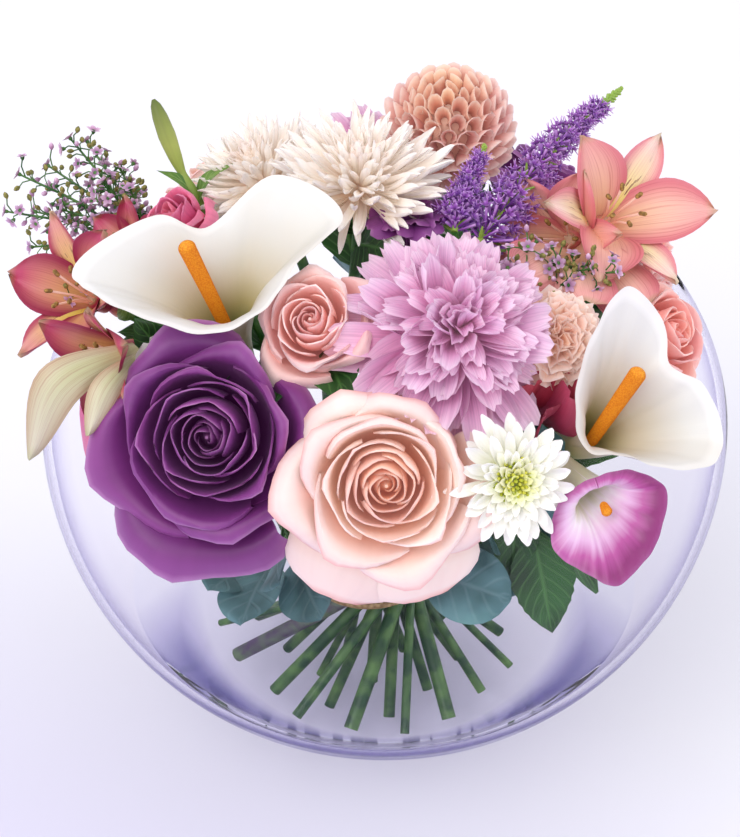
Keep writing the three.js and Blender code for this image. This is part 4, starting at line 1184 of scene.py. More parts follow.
# %% Chrysanthemums
def chrysanthemum(
    count, seed, length, width, climb, curl, cup, notch, start=(3, 6), power=0.8,
    half=None, ripple=0.0, wild=1.0, toward=0.0, amount=0.0,
):
    """length, width, climb and curl: values at the heart and at the outside."""
    growth = Growth()
    rng = np.random.default_rng(seed)
    for k in range(count):
        t = ((k + 0.5) / count) ** power
        turn = k * GOLDEN + rng.uniform(-0.12, 0.12) * wild
        mixed = [a + (b - a) * t for a, b in (length, width, climb, curl)]
        long = mixed[0] * rng.uniform(0.9, 1.08) * (1 + amount * math.cos(turn - toward) * t)
        wide = mixed[1] / 2 * rng.uniform(0.86, 1.12)
        root = (start[0] * t + 0.6, start[1] * (1 - t) + 1)
        outline = (lambda u, w=wide: w * half(u)) if half else wide
        grid = strap(
            9, 6, root, mixed[2] + rng.uniform(-9, 9) * wild, mixed[3] + rng.uniform(-12, 12) * wild, long,
            outline, cup, notch, ripple, rng.uniform(0, 6.28), turn,
            rng.uniform(-0.09, 0.09) * wild, rng.uniform(-0.3, 0.3) * wild,
        )
        growth.sheet(grid, 0.5, tone=t, petal=rng.random())
    core = [(1, 0), (start[0] + 1.5, 0.6), (start[0] + 1, start[1] * 0.6), (0.5, start[1])]
    lathe(growth, core, 16, tone=0.0)
    return growth


def fringe(u):
    """Half the width of a broad floret along its length, of which it loses a fifth at the tip."""
    swell = 0.42 + 0.58 * np.sin(np.pi / 2 * np.minimum(1, u / 0.75)) ** 1.4
    return swell - 0.2 * np.clip(u - 0.86, 0, 1) / 0.14


def slim(u):
    return rounded(u, 0.7, 0.5)


lower_left = away_from(stems["mum_lilac"], (-0.8, 0, -0.9))
mum = chrysanthemum(
    136, 21, (17, 34), (7, 11.5), (86, -14), (-38, 8), 0.6, 0.1, (4, 7),
    half=fringe, ripple=0.9, wild=2.5, toward=lower_left, amount=0.14,
)
piece("mum_lilac", set_bloom(mum, "mum_lilac"), [LILAC], ["mum_lilac_petals"])
mum = chrysanthemum(
    120, 22, (16, 31), (7, 11.5), (86, -12), (-38, 8), 0.6, 0.1, (4, 7), half=fringe, ripple=0.9, wild=2.5,
)
piece("mum_lilac_back", set_bloom(mum, "mum_lilac_back"), [LILAC], ["mum_lilac_back_petals"])

for name, count, seed, length, wide in (
    ("spider_white_right", 260, 23, (12, 31), (2.4, 3.6)),
    ("spider_white_left", 230, 24, (11, 27), (2.4, 3.4)),
):
    mum = chrysanthemum(
        count, seed, length, wide, (88, -16), (4, 36), 0.9, 0.0, (4, 6), half=slim, wild=1.9,
    )
    piece(name, set_bloom(mum, name), [CREAM], [name + "_petals"])

mum = chrysanthemum(
    104, 25, (5, 16.5), (2.8, 5), (80, -4), (-30, 10), 0.6, 0.0, (6, 3), 0.8, half=slim, wild=1.2,
)
rng = np.random.default_rng(26)
for k in range(90):
    t = math.sqrt((k + 0.5) / 90)
    spot = np.array([7 * t * math.cos(k * GOLDEN), 7 * t * math.sin(k * GOLDEN), 6.6 - 2.6 * t * t])
    mum.place = stand(spot, [spot[0] * 0.12, spot[1] * 0.12, 1])
    lathe(mum, [(0.5, 0), (0.75, 1.1), (0.45, 2.1)], 6, finish=1)
mum.place = np.eye(4)
piece("mum_white", set_bloom(mum, "mum_white"), [WHITE, BUTTON], ["mum_white_petals"])

# %% [markdown]
# ## The peach ball
# A ball dahlia is a globe of short rolled petals, each a little cup, set by the golden angle like the
# cells of a honeycomb. Each cup is a flat grid rolled nearly to a tube, with its outer edge longer, and
# a small core fills the middle.

# %% Ball dahlia
def ball(reach, count, seed):
    growth = Growth()
    rng = np.random.default_rng(seed)
    middle = reach * 0.8
    for k in range(count):
        height = 1 - 1.86 * (k + 0.5) / count
        flat = math.sqrt(max(0, 1 - height * height))
        turn = k * GOLDEN
        outward = np.array([flat * math.cos(turn), flat * math.sin(turn), height])
        width = reach * (0.17 + 0.13 * min(1, flat + 0.1)) * rng.uniform(0.85, 1.15)
        growth.place = stand(np.array([0, 0, middle]) + outward * reach * 0.62, outward + [0, 0, 0.12])
        u, v = flat_grid(6, 8)
        wrap = v * 2.75
        flare = width * 0.5 * (0.45 + 0.6 * u) * (1 + 0.06 * math.sin(k))
        long = reach * 0.43 * (0.72 + 0.28 * np.cos(v * 2.9)) * u * rng.uniform(0.92, 1.08)
        grid = np.stack([flare * np.cos(wrap), flare * np.sin(wrap), long], axis=2)
        turned = math.atan2(outward[1], outward[0]) + math.pi
        c, s = math.cos(turned), math.sin(turned)
        grid = grid @ np.array([[c, -s, 0], [s, c, 0], [0, 0, 1]]).T
        growth.sheet(grid, 0.5, tone=1 - max(0, height), petal=rng.random())
    growth.place = np.eye(4)
    growth.points = [p * [1, 1, 0.9] for p in growth.points]
    angles = np.linspace(-1.45, 1.3, 12)
    profile = [(reach * 0.68 * math.cos(a), 0.9 * middle + reach * 0.6 * math.sin(a)) for a in angles]
    lathe(growth, [(1.5, 0), (3, 1), *profile], 20, tone=0.0, petal=0.1)
    return growth


bloom = set_bloom(ball(23.5, 150, 31), "ball_peach")
piece("ball_peach", bloom, [PEACH], ["ball_peach_petals"])

# %% [markdown]
# ## Carnations and the pink bloom
# A carnation's petals are fans with a toothed and ruffled rim, crowded into a half dome. Under the
# peach one a few broad crimson petals show. The deep pink bloom beside the bud is a half open cup.

# %% Carnations and a pink cup
def carnation(reach, depth, count, seed):
    growth = Growth()
    rng = np.random.default_rng(seed)
    for k in range(count):
        t = (k + 0.5) / count
        climb = 84 - 74 * t + rng.uniform(-8, 8)
        long = reach * (0.62 + 0.38 * t)
        u, v = flat_grid(8, 14)
        teeth = 1 + 0.07 * u**5 * np.cos(21 * v + rng.uniform(0, 6))
        radius = 1.2 + long * u * teeth * (1 - 0.12 * v * v)
        ruffle = u**1.8 * long * 0.16 * np.sin(7.5 * v + rng.uniform(0, 6.28))
        fan = v * (0.35 + 0.5 * u) * rng.uniform(0.85, 1.1)
        c, s = math.cos(math.radians(climb)), math.sin(math.radians(climb))
        away, aside = radius * np.cos(fan), radius * np.sin(fan)
        grid = np.stack([away * c - ruffle * s, aside, away * s + ruffle * c + depth * 0.2], axis=2)
        turn = k * GOLDEN
        c, s = math.cos(turn), math.sin(turn)
        grid = grid @ np.array([[c, -s, 0], [s, c, 0], [0, 0, 1]]).T
        growth.sheet(grid, 0.45, tone=t, petal=rng.random())
    lathe(growth, [(1, 0), (3.6, 0.5), (4.4, depth * 0.45), (1, depth * 0.6)], 14, tone=0.0)
    return growth


bloom = set_bloom(carnation(17, 14, 44, 41), "carnation_peach")
foot = np.array([46.0, -80, 178])
stalk = curve_through([stems["carnation_peach"]["above"][22], foot + [0, 0, -8], foot], 10)
tube(bloom, stalk, 1.2, 8, finish=2)
crimson_tips = [(60, -98, 197), (52, -100, 192), (64, -88, 200), (56, -88, 203), (48, -94, 199)]
for k, tip in enumerate(crimson_tips):
    middle = (foot + tip) / 2 + [3 - 2 * k, -4, -3]
    loose_petal(bloom, foot, middle, tip, 17, (0.2, -0.8, 0.6), 1, 0.15 + 0.17 * k)
piece("carnation_peach", bloom, [CARNATION, CRIMSON, STEM], ["carnation_peach_petals"])
bloom = set_bloom(carnation(22, 16, 52, 42), "carnation_coral")
piece("carnation_coral", bloom, [CORAL], ["carnation_coral_petals"])
bloom = set_bloom(rose("tulip_pink", 14.5, 24, 14, 43, 0.7), "tulip_pink")
piece("tulip_pink", bloom, [PINK], ["tulip_pink_petals"])

# %% [markdown]
# ## Alstroemerias
# Three broad outer tepals and three slim spotted inner ones flare from a short tube, with six arching
# stamens in the throat. Each tepal is a strap whose width swells past its middle. Two of the stems
# carry a second flower, and some broad tepals hang loose: salmon ones under the right flowers, pink
# ones against the glass at the left, and two long cream ones that arch over the rim.

# %% Alstroemerias
def trumpet(growth, reach, rng, spin=0.0, tepals=(0, 1), open_out=1.0):
    """Adds one flower on the growth's present place. Finishes 0 and 1 are outer and inner tepals."""
    for k in range(6):
        inner = k % 2
        width = reach * (0.2 if inner else 0.33)
        outline = lambda u, w=width, p=(0.66 if inner else 0.6): w * pointed(u, p, 0.16)
        grid = strap(
            16, 8, (1.4, 1), 76 - 8 * inner, (-66 + 16 * inner + rng.uniform(-12, 12)) * open_out,
            reach * (1.1 if inner else 1.16) * rng.uniform(0.93, 1.07), outline, 0.3, 0.0, 1.1,
            rng.uniform(0, 6), spin + 2 * math.pi * (k + rng.uniform(-0.12, 0.12)) / 6,
            rng.uniform(-0.06, 0.06), rng.uniform(-0.2, 0.2),
        )
        growth.sheet(grid, 0.55, tone=0.1 if inner else 0.8, petal=rng.random(), finish=tepals[inner])
    flower = growth.place.copy()
    for k in range(6):
        turn = 2 * math.pi * (k + 0.5) / 6 + 0.3
        lean = np.array([math.cos(turn), math.sin(turn), 0])
        points = [lean * 1 + [0, 0, 3], lean * 2.8 + [0, 0, reach * 0.45], lean * 6.5 + [0, 0, reach * 0.7]]
        path = curve_through(points, 9)
        tube(growth, path, 0.4, 6, finish=3)
        growth.place = flower @ stand(path[-1], lean * 0.7 + [0, 0, 0.5])
        lathe(growth, [(0.3, -1.4), (0.75, -0.9), (0.8, 1.0), (0.3, 1.6)], 8, finish=4)
        growth.place = flower
    lathe(growth, [(1, 0), (3.2, 1), (3.6, 6), (2.2, 9)], 12, tone=0.8)


# flower: stem, heart, (azimuth, climb) of its face, reach, spin, how open, tepals
FLOWERS = [
    ("alstroemeria_right", (80, -36, 231), (30, 48), 37, 0.2, 1.0, (0, 1)),
    ("alstroemeria_right", (57, -40, 221), (-28, 30), 31, 0.9, 0.8, (0, 0)),
    ("alstroemeria_left", (-110, -48, 207), (-50, 40), 33, 0.5, 1.0, (0, 1)),
    ("alstroemeria_left", (-96, -22, 210), (-60, 50), 24, 0.1, 0.7, (0, 0)),
    ("alstroemeria_low", (-100, -84, 199), (-42, 10), 27, 0.0, 0.9, (0, 1)),
]
LILY_LOOKS = {
    "alstroemeria_right": ([SALMON_LILY, CREAM_SALMON], "petal_salmon"),
    "alstroemeria_left": ([PINK_LILY, CREAM_PINK], "petal_pink"),
    "alstroemeria_low": ([PINK_LILY, CREAM_PINK], "petal_pink"),
}
for name, (looks, slot) in LILY_LOOKS.items():
    growth = Growth()
    rng = np.random.default_rng(len(name))
    stem = stems[name]
    for where_from, heart, face, reach, spin, open_out, tepals in FLOWERS:
        if where_from != name:
            continue
        arrive = facing(*face)
        seat = np.array(heart) - arrive * 24
        growth.place = stand(seat, arrive)
        trumpet(growth, reach, rng, spin, tepals, open_out)
        growth.place = np.eye(4)
        stalk = curve_through([stem["top"], (stem["top"] + seat) / 2 - [0, 0, 2], seat], 8)
        tube(growth, stalk, 1.5, 8, finish=0)
    if name == "alstroemeria_right":
        for root, middle, tip, wide in (
            ((64, -42, 216), (54, -54, 222), (45, -62, 222), 24),
            ((66, -42, 216), (64, -58, 219), (66, -68, 214), 26),
            ((70, -40, 214), (78, -54, 214), (86, -62, 208), 22),
        ):
            loose_petal(growth, root, middle, tip, wide, (0, -0.6, 0.8), 0, wide / 30)
    if name == "alstroemeria_left":
        loose_petal(growth, (-86, -52, 172), (-99, -54, 160), (-104, -46, 126), 24, (-0.6, -0.8, 0.3), 2, 0.3)
        loose_petal(growth, (-82, -54, 170), (-92, -66, 158), (-98, -58, 136), 20, (-0.6, -0.8, 0.3), 2, 0.7)
    if name == "alstroemeria_low":
        loose_petal(growth, (-72, -70, 190), (-73, -80, 196), (-78, -84, 209), 15, (0, -0.8, 0.6), 5, 0.2)
        loose_petal(growth, (-70, -70, 190), (-67, -84, 196), (-68, -86, 207), 14, (0.3, -0.8, 0.6), 5, 0.8)
        for root, low, tip, wide in (
            ((-82, -80, 204), (-106, -97, 201), (-118, -101, 173), 16),
            ((-82, -82, 202), (-91, -98, 200), (-97, -106, 187), 10),
        ):
            middle = curve_through([root, low, tip], 16)
            u, v = flat_grid(15, 8)
            across = unit(np.cross(middle[-1] - middle[0], [0.2, -1, 0.5]))
            face = unit(np.cross(across, middle[-1] - middle[0]))
            bent = middle[:, None, :] + (v * wide / 2 * pointed(u, 0.55, 0.3))[..., None] * across
            bent = bent - (5 * np.abs(v) ** 1.4 * u * (1 - 0.5 * u))[..., None] * face
            growth.sheet(bent, 0.5, tone=0.8, petal=0.6, finish=6)
    finishes = [*looks, PINK, CARNATION, POLLEN, CREAM, CREAM_LILY]
    piece(name, growth, finishes, [name + "_petals"])

# %% [markdown]
# ## Callas
# A calla's spathe is one sheet, wrapped to a funnel, with a lip that flares and draws out to a point.
# The lip's outline is drawn as a closed curve through a few points. From each place on it a profile
# runs down through the throat to the stalk, and the sheet gets its thickness inwards.

# %% Spathes
RIMS = {
    "calla_left": [
        (-46, -8, 23), (-19, 12, 30), (-6, 15, 23), (17, 24, 38), (38, 12, 32),
        (24, -4, 22), (14, -17, 13), (-4, -23, 10), (-26, -21, 15), (-42, -16, 20),
    ],
    "calla_right": [
        (-3, -11, 10), (-5, -6, 25), (-1, 4, 44), (9, 10, 56), (20, 10, 44),
        (23, 4, 30), (34, 0, 25), (40, -8, 13), (36, -18, 9), (20, -23, 11), (7, -18, 11),
    ],
    "calla_magenta": [
        (-2, 0, 9), (10, 2, 10), (20, 0, 6), (18, -10, -3), (12, -18, -10),
        (3, -25, -14), (-7, -20, -11), (-16, -14, -7), (-14, -3, 3),
    ],
}
SPADICES = {
    "calla_left": ((1.9, 4.2, -11.6), (-11, -5, 30)),
    "calla_right": ((-1.4, 3.4, -1.2), (13, -4, 34)),
    "calla_magenta": ((0, 0, 0), (1.6, -5.5, -0.6)),
}


def spathe(name, around=128, along=26, thickness=0.8):
    throat, base, wide, _ = CALLAS[name]
    base = np.array(base, dtype=float)
    axis = unit(-base)
    lip = curve_through(RIMS[name], around, closed=True)
    t = np.linspace(0, 1, along + 1)
    sides = []
    for edge in lip:
        rise = axis * np.dot(edge, axis)
        outward = unit(edge - rise)
        below, waist = outward * wide * 0.75 + base, outward * wide
        sides.append(bezier(below, waist, (edge - rise) * 0.55 + rise * 0.42, edge, t))
    sheet = np.stack(sides, axis=1)
    across = np.roll(sheet, -1, axis=1) - np.roll(sheet, 1, axis=1)
    inward = np.cross(across, np.gradient(sheet, axis=0))
    inward /= np.linalg.norm(inward, axis=2, keepdims=True)
    turn = np.linspace(0, 2 * np.pi, around, endpoint=False)[None, :, None]
    rise = t[:, None, None]
    creases = (0.3 * np.sin(7 * turn) + 0.22 * np.sin(16 * turn + 1.3)) * rise**2
    sheet = sheet + inward * (creases - (1.7 + 0.9 * np.sin(3 * turn + 0.6)) * rise**9)
    inner = sheet + inward * thickness * (1 - t**6)[:, None, None]
    growth = Growth()
    growth.place[:3, 3] = throat
    profile = np.concatenate([sheet, inner[-2:1:-1]])
    growth.skin(profile)
    rise = np.concatenate([t, np.linspace(1, 0, len(profile) - along - 1)])
    growth.marks[0][:-2, 0] = np.repeat(rise, around)
    growth.marks[0][:-2, 2] = np.repeat(np.arange(len(profile)) > along, around)
    growth.marks[0][-2:, 0] = 0
    return growth


for name in CALLAS:
    finish = MAGENTA if name == "calla_magenta" else CALLA
    slot = "petal_magenta" if name == "calla_magenta" else "petal_white"
    piece(name, spathe(name), [finish], [name + "_spathe"], crease=70)

# %% [markdown]
# The spadix is a club covered in grains of pollen. It is made as a modeller would by hand: a cylinder
# primitive whose ends are rounded with the bevel operator, narrowed near its foot, and turned to its
# place in the throat.

# %% Spadices
def points_where(mesh, test):
    """Selects a mesh's points by their place."""
    for element in (mesh.vertices, mesh.edges, mesh.polygons):
        element.foreach_set("select", np.zeros(len(element), dtype=bool))
    for vertex in mesh.vertices:
        vertex.select = bool(test(vertex.co))


for name, (low, high) in SPADICES.items():
    low, high = np.array(low, dtype=float), np.array(high, dtype=float)
    thick = 0.0022 if name != "calla_magenta" else 0.0014
    length = np.linalg.norm(high - low) / 1000
    bpy.ops.object.select_all(action="DESELECT")
    bpy.ops.mesh.primitive_cylinder_add(vertices=32, radius=thick, depth=length, location=(0, 0, length / 2))
    club = bpy.context.object
    bpy.ops.object.transform_apply(location=True, rotation=False, scale=False)
    bpy.ops.object.mode_set(mode="EDIT")
    bpy.ops.mesh.select_all(action="SELECT")
    bpy.ops.mesh.bevel(offset=thick * 0.97, segments=8)
    bpy.ops.object.mode_set(mode="OBJECT")
    points_where(club.data, lambda place: place.z < length * 0.35)
    bpy.ops.object.mode_set(mode="EDIT")
    bpy.ops.transform.resize(value=(0.75, 0.75, 1))
    bpy.ops.object.mode_set(mode="OBJECT")
    matrix = stand((np.array(CALLAS[name][0]) + low) / 1000, high - low)
    club.data.transform(Matrix(matrix.tolist()))
    club.name = name + "_spadix_grain"
    club.data.materials.append(SPADIX)
    only(club)
    bpy.ops.object.shade_smooth_by_angle(angle=math.radians(50))
    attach(club, "root")
    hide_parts(name + "_spadix")
    print(club.name, round(length * 1000), "mm")

# %% [markdown]
# ## Veronica
# A veronica spike is a thin stem wrapped in whorls of tiny violet florets, longest at its foot, with
# green buds at the tip. Each floret here is a small cup of four points and a pair of stamens. The short
# spike stands over a looser violet bloom.

# %% Veronica
# spike: points on its curve, reach of its florets, their number, and from where on it is all buds
SPIKES = {
    "veronica_spike_1": ([(31, -44, 222), (58, -5, 236), (84, 30, 240)], 13.5, 330, 0.84),
    "veronica_spike_2": ([(23, -42, 225), (27, -28, 234), (34, -12, 241)], 9.5, 170, 0.88),
}


def floret(growth, at, outward, size, petal, finish):
    growth.place = stand(at, outward, petal * 6)
    for k in range(4):
        grid = strap(3, 2, (0.3, 0), 66, -46, size, lambda u: size * 0.3 * rounded(u, 0.6, 0.6), 0.3,
                     turn=math.pi / 2 * k)
        growth.sheet(grid, 0.3, tone=petal, petal=petal, finish=finish)
    for side in (-1, 1):
        stamen = [(0.2 * side, 0, 0), (0.5 * side, 0.2, size * 0.8), (1.1 * side, 0.3, size * 1.5)]
        tube(growth, stamen, 0.16, 4, petal=petal, tone=1.0, finish=finish)


def spike(points, reach, count, green_from):
    growth = Growth()
    rng = np.random.default_rng(count)
    path = curve_through(points, 60)
    tube(growth, path, np.linspace(1.2, 0.4, 60), 8, finish=1)
    for k in range(count):
        share = (k + 0.5) / count
        at = share * 58.9
        i = int(at)
        place = path[i] + (path[i + 1] - path[i]) * (at - i)
        heading = unit(path[i + 1] - path[i])
        side = unit(np.cross(heading, [0, 0, 1]))
        outward = turn_about(heading, k * GOLDEN) @ side
        long = reach * (1 - 0.86 * share**0.7) * rng.uniform(0.5, 1.1)
        tip = place + outward * long * 0.72 + heading * long * 0.4
        growth.place = np.eye(4)
        if share > green_from or rng.random() < 0.12:
            tube(growth, [place, (place + tip) / 2, tip], [0.3, 0.7, 0.3], 5, finish=1)
            continue
        tube(growth, [place, tip], [0.3, 0.6], 4, petal=rng.random(), tone=rng.random())
        floret(growth, tip, outward + heading * 0.5, 1.5 + long * 0.12, rng.random(), 0)
    growth.place = np.eye(4)
    return growth


for name, (points, reach, count, green_from) in SPIKES.items():
    growth = spike(points, reach, count, green_from)
    piece(name + "_florets", growth, [VIOLET, BUD_GREEN], [name])

stem = stems["veronica"]
growth = Growth()
draw_stem(growth, stem)
fork = stem["top"]
for points, *_ in SPIKES.values():
    start = np.array(points[0], dtype=float)
    tube(growth, curve_through([fork - [0, 0, 3], (fork + start) / 2 + [0, 0, 1], start], 8), 1.2, 8)
rng = np.random.default_rng(71)
for k in range(10):
    root = stem["above"][30 - k * 2]
    turn = k * 2.6
    tip = root + np.array([math.cos(turn) * 16, math.sin(turn) * 16, 9])
    leaf(growth, root, tip, [0, 0, 1], 6, lance, 0.15, 0.2, rows=8, columns=4, petal=rng.random(), finish=1)
bloom_seat = np.array([9.0, -34, 214])
tube(growth, curve_through([stem["above"][24], bloom_seat - [2, 0, 10], bloom_seat], 10), 1.3, 8)
for k in range(13):
    turn, out = k * GOLDEN, 7 + 9 * (k / 12)
    away = np.array([math.cos(turn), math.sin(turn), 0])
    middle = bloom_seat + away * out * 0.45 + [0, 0, 13]
    tip = bloom_seat + away * out + [-1, -2, 19 - out * 0.35]
    loose_petal(growth, bloom_seat, middle, tip, 13, -away + [0, 0, 0.4], 2, (k % 5) / 5, k / 12)
piece("veronica_stem_leaves", growth, [STEM, FRESH_LEAF, PURPLE], ["veronica"])

# %% [markdown]
# ## Waxflower
# The airy sprays are twigs that fork again and again into tiny lilac buds and five-petalled flowers.
# Each twig of the solid model carries side twigs with a bud or a flower at every tip.

# %% Waxflower
TWIGS = {
    "waxflower_left": [
        (-126, 18, 196), (-121, 25, 211), (-107, 30, 218), (-95, 22, 212), (-114, 3, 206), (-134, 2, 206),
        (-130, 14, 214), (-124, -12, 200), (-100, 8, 214), (-112, 22, 224), (-90, 4, 214), (-108, -40, 196),
    ],
    "waxflower_right": [
        (57, -57, 222), (68, -60, 222), (40, -66, 226), (47, -55, 227), (76, -62, 222), (60, -64, 218),
    ],
}


def tiny_flower(growth, at, outward, size, rng):
    growth.place = stand(at, outward, rng.uniform(0, 6))
    shade = rng.random()
    for k in range(5):
        grid = strap(3, 2, (0.35, 0.4), 34, -20, size, lambda u: size * 0.4 * rounded(u, 0.5, 0.7), 0.2,
                     turn=2 * math.pi * k / 5)
        growth.sheet(grid, 0.3, tone=shade, petal=shade, finish=1)
    lathe(growth, [(0.3, -0.9), (0.8, 0), (0.7, 0.7), (0.2, 0.9)], 6, finish=0)
    growth.place = np.eye(4)


WAX = petal_finish(
    "petal_wax",
    stops((0, "a06a94"), (0.6, "cfa2c4"), (1, "e6c8de")),
    stops((0, "8c5a80"), (0.6, "b98cb0"), (1, "dcb8d4")),
    lines=3, strength=0.05,
)
OLIVE = grain_finish("olive_bud", rgb("6c6c34"), rgb("a89c50"), 900)
for name, tips in TWIGS.items():
    stem = stems[name]
    growth = Growth()
    draw_stem(growth, stem)
    rng = np.random.default_rng(len(tips))
    fork = stem["top"]
    for tip in tips:
        tip = np.array(tip, dtype=float)
        path = curve_through([fork, (fork + tip) / 2 + [0, 0, 4], tip], 24)
        tube(growth, path, np.linspace(0.8, 0.35, 24), 6)
        tiny_flower(growth, path[-1], path[-1] - path[-3], 2.6, rng)
        for k in range(24):
            i = 5 + int(k * 18 / 24)
            heading = unit(path[min(i + 1, 23)] - path[i])
            side = turn_about(heading, k * GOLDEN) @ unit(np.cross(heading, [0.1, 0, 1]))
            long = rng.uniform(3, 8)
            end = path[i] + side * long * 0.8 + heading * long * 0.5
            tube(growth, [path[i], (path[i] + end) / 2 + heading, end], 0.25, 4)
            if rng.random() < 0.42:
                tiny_flower(growth, end, end - path[i], rng.uniform(1.6, 2.7), rng)
            else:
                growth.place = stand(end, end - path[i])
                look = 2 if rng.random() < 0.7 else 1
                lathe(
                    growth, [(0.3, -0.4), (0.95, 0.6), (0.8, 1.6), (0.2, 2.3)], 6,
                    petal=rng.random(), finish=look,
                )
                growth.place = np.eye(4)
    piece(name + "_spray", growth, [STEM, WAX, OLIVE], [name])

# %% [markdown]
# ## The lily bud
# One closed lily bud leans out at the upper left on a curved stalk, with two slim leaves at its foot.
# It is a tube along the stalk's own curve, whose radius swells to the bud and closes at its tip.

# %% Lily bud
stem = stems["lily_bud"]
growth = Growth()
draw_stem(growth, stem)
tip = np.array([-82, 13, 242], dtype=float)
neck = (stem["top"] * 2 + tip) / 3 + [0, 0, -1]
path = curve_through([stem["path"][-6], stem["top"], neck, tip + [1, 0, 3]], 40)
share = np.linspace(0, 1, 40)
swell = np.interp(share, [0, 0.5, 0.66, 0.74, 0.84, 0.93, 0.98, 1], [2.1, 2.0, 1.4, 2.4, 3.2, 2.7, 1.7, 0.6])
tube(growth, path, swell, 18, finish=1)
for side, long in ((1, 26), (-1, 20)):
    root = stem["top"]
    leaf(growth, root - [0, 0, 4], root + [14 * side, 4, long * 0.5], [0, 0, 1], 7, lance, 0.2, 0.3,
         rows=10, columns=4, petal=0.4, finish=2)
piece("lily_bud_green", growth, [STEM, LILY_GREEN, FRESH_LEAF], ["lily_bud"])

# %% [markdown]
# ## The tie
# The stems are held by a few turns of natural twine. Each turn is a torus primitive, a little wider or
# tighter and more or less tilted than the last, as wound twine lies, and they are joined to one piece.

# %% Twine
TURNS = 6
TWINE_START, TWINE_PITCH, TWINE_RADIUS = 0.0009, 0.00105, 0.00062
low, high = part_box("tie")
center = [(low[k] + high[k]) / 2 for k in range(3)]
wide = (high[0] - low[0]) / 2
turns = []
for k in range(TURNS):
    bpy.ops.object.select_all(action="DESELECT")
    place = (center[0], center[1], low[2] + TWINE_START + k * TWINE_PITCH)
    spread = wide - 0.0010 - 0.0001 * (k % 2)
    bpy.ops.mesh.primitive_torus_add(
        location=place, rotation=(0.012 * (k % 3 - 1), 0, 0),
        major_radius=spread, minor_radius=TWINE_RADIUS, major_segments=72, minor_segments=8,
    )
    turns.append(bpy.context.object)
bpy.ops.object.select_all(action="DESELECT")
for turn in turns:
    turn.select_set(True)
bpy.context.view_layer.objects.active = turns[0]
bpy.ops.object.join()
twine = bpy.context.object
bpy.ops.object.transform_apply(location=True, rotation=True, scale=True)
twine.name = "twine"
twine.data.materials.clear()
twine.data.materials.append(TWINE)
bpy.ops.object.shade_smooth_by_angle(angle=math.radians(60))
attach(twine, "root")
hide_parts("tie")
print("twine", len(turns), "turns")

# %% [markdown]
# ## The glass bowl
# The bowl is blown: a sphere with a flat foot, a thick base and a wide mouth whose cut rim is polished
# round. Half of its section is drawn as a row of points, joined by edges, and spun round the axis with
# the spin operator, as on a lathe. The seam is merged and the normals are made to point out.
#
# The glass is clear where one looks through it squarely. Where one looks along its wall, and low on the
# wall round the foot, its colour turns lavender and then deep purple: that is painted refraction, the
# bands that bent and reflected light show along a glass edge, so the tint follows the facing and the
# height. It bends light only a little, because a full bend hides the stems behind streaks, and a thin
# coat gives it its gloss. The water is clearer still, with faint ripples.

# %% Bowl and water
LOW_BEND = 1.02  # the refractive index of the glass and the water
WATER_GAP = 0.25  # between the water and the glass


def bowl_wall(inset, low, high, count):
    """Points (radius, height) up the bowl's wall, set in from its outer face."""
    def angle(z):
        return math.asin((z - MIDDLE) / bowl_half(z, inset))

    made = []
    for t in np.linspace(angle(low), angle(high), count):
        half = (BOWL["radius"] if t < 0 else BOWL["shoulder"]) - inset
        made.append(((BOWL["radius"] - inset) * math.cos(t), MIDDLE + half * math.sin(t)))
    return made


def spun(name, section, steps=128):
    """Spins a section of (radius, height) points, which starts and ends on the axis."""
    bpy.ops.object.select_all(action="DESELECT")
    mesh = bpy.data.meshes.new(name)
    places = [(r / 1000, 0, z / 1000) for r, z in section]
    mesh.from_pydata(places, [(k, k + 1) for k in range(len(places) - 1)], [])
    made = bpy.data.objects.new(name, mesh)
    bpy.context.collection.objects.link(made)
    only(made)
    bpy.ops.object.mode_set(mode="EDIT")
    bpy.ops.mesh.select_all(action="SELECT")
    bpy.ops.mesh.spin(steps=steps, angle=2 * math.pi, center=(0, 0, 0), axis=(0, 0, 1))
    bpy.ops.mesh.select_all(action="SELECT")
    bpy.ops.mesh.remove_doubles(threshold=0.00001)
    bpy.ops.mesh.normals_make_consistent(inside=False)
    bpy.ops.object.mode_set(mode="OBJECT")
    bpy.ops.object.shade_smooth_by_angle(angle=math.radians(50))
    return made


def let_light_in(tree, shader, color):
    """Shadows and bounced light pass straight through, so what stands inside isn't left in the dark."""
    path, clear, mixed = node(tree, "LightPath"), node(tree, "BsdfTransparent"), node(tree, "MixShader")
    clear.inputs["Color"].default_value = (*color, 1)
    passed = sum_of(tree, "MAXIMUM", path.outputs["Is Shadow Ray"], path.outputs["Is Diffuse Ray"])
    tree.links.new(passed, mixed.inputs[0])
    tree.links.new(shader.outputs["BSDF"], mixed.inputs[1])
    tree.links.new(clear.outputs["BSDF"], mixed.inputs[2])
    tree.links.new(mixed.outputs["Shader"], tree.nodes["Material Output"].inputs["Surface"])


outside = bowl_wall(0, 0, BOWL["rim"] - 1.2, 48)
inside = bowl_wall(BOWL["wall"], BOWL["base"], BOWL["rim"] - 1.2, 44)
lip_r = (outside[-1][0] + inside[-1][0]) / 2
rim = [(lip_r + 1.1, BOWL["rim"] - 0.35), (lip_r, BOWL["rim"]), (lip_r - 1.1, BOWL["rim"] - 0.35)]
foot = [(0, 0.6), (BOWL["foot"] * 0.7, 0.5), (BOWL["foot"] - 2.5, 0.0)]
bowl = spun("glass_bowl", [*foot, *outside[1:], *rim, *inside[::-1], (0, BOWL["base"])])

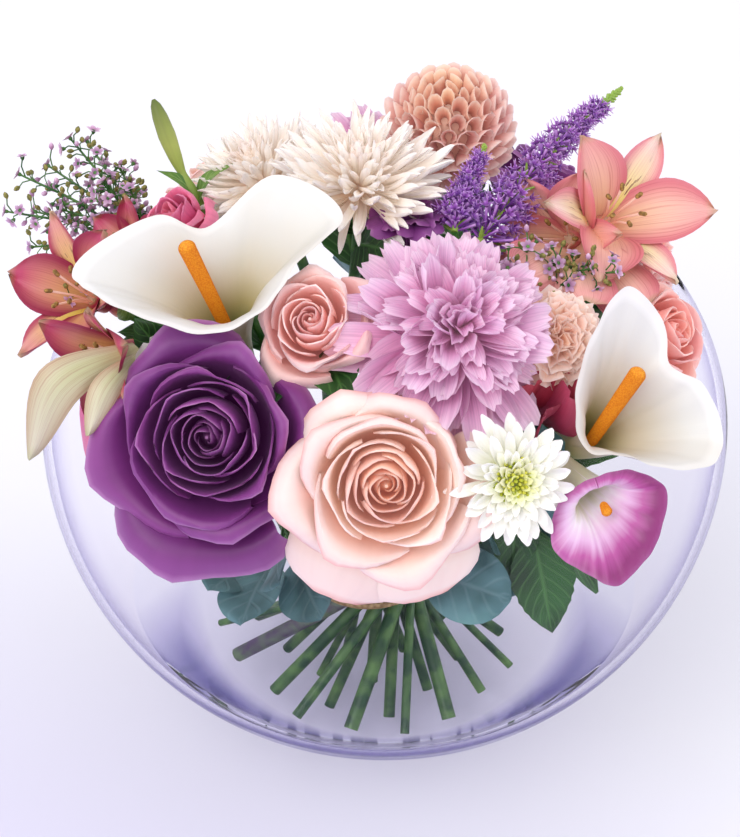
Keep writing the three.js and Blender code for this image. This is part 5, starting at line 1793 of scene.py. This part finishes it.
material, tree, shader = new_material("bowl_glass")
edge = node(tree, "LayerWeight")
edge.inputs["Blend"].default_value = 0.5
where = node(tree, "TexCoord")
parts = node(tree, "SeparateXYZ")
tree.links.new(where.outputs["Object"], parts.inputs["Vector"])
away = sum_of(tree, "POWER", parts.outputs["X"], 2)
away = sum_of(tree, "SQRT", sum_of(tree, "ADD", away, sum_of(tree, "POWER", parts.outputs["Y"], 2)), 0)
outer_part = node(tree, "MapRange")
outer_part.inputs["From Min"].default_value = 0.06
outer_part.inputs["From Max"].default_value = 0.08
tree.links.new(away, outer_part.inputs["Value"])
# painted refraction: a lavender band low on the wall round the foot, where bent light shows the base's edge
low = sum_of(tree, "MAXIMUM", sum_of(tree, "MULTIPLY_ADD", parts.outputs["Z"], -20, 0.78), 0)
low = sum_of(tree, "MULTIPLY", low, outer_part.outputs["Result"])
# the facing adds the painted edge band along the wall's outline
painted_edge_band = sum_of(tree, "MULTIPLY", sum_of(tree, "ADD", edge.outputs["Facing"], low), 0.75)
glass_painted_refraction = ramp(
    tree, painted_edge_band, (0.0, (1, 1, 1)), (0.5, rgb("fcfbff")), (0.62, rgb("d8d4ec")), (0.72, rgb("9c98c4")),
    (0.82, rgb("6058a0")), (0.95, rgb("3c2c74")),
)
tree.links.new(glass_painted_refraction, shader.inputs["Base Color"])
shader.inputs["Roughness"].default_value = 0.02
shader.inputs["IOR"].default_value = LOW_BEND
shader.inputs["Transmission Weight"].default_value = 1.0
shader.inputs["Coat Weight"].default_value = 0.15
shader.inputs["Coat IOR"].default_value = 1.5
shader.inputs["Coat Roughness"].default_value = 0.02
let_light_in(tree, shader, (0.95, 0.94, 0.98))
bowl.data.materials.append(material)
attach(bowl, "root")
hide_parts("bowl")
print("bowl", len(bowl.data.polygons), "faces")

side = bowl_wall(BOWL["wall"] + WATER_GAP, BOWL["base"] + WATER_GAP, WATER_LEVEL, 18)
water = spun("water_fill", [(0, BOWL["base"] + WATER_GAP), *side, (0, WATER_LEVEL)])
material, tree, shader = new_material("water_clear")
where = node(tree, "TexCoord")
waves = node(tree, "TexNoise")
waves.inputs["Scale"].default_value = 30
tree.links.new(where.outputs["Object"], waves.inputs["Vector"])
bump = node(tree, "Bump")
bump.inputs["Strength"].default_value = 0.2
bump.inputs["Distance"].default_value = 0.0006
tree.links.new(waves.outputs["Fac"], bump.inputs["Height"])
tree.links.new(bump.outputs["Normal"], shader.inputs["Normal"])
clear = ramp(tree, waves.outputs["Fac"], (0, rgb("fafcff")), (1, (1, 1, 1)))
tree.links.new(clear, shader.inputs["Base Color"])
shader.inputs["Roughness"].default_value = 0.0
shader.inputs["IOR"].default_value = LOW_BEND
shader.inputs["Transmission Weight"].default_value = 1.0
let_light_in(tree, shader, (1, 1, 1))
water.data.materials.append(material)
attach(water, "root")
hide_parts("water")
print("water", len(water.data.polygons), "faces")
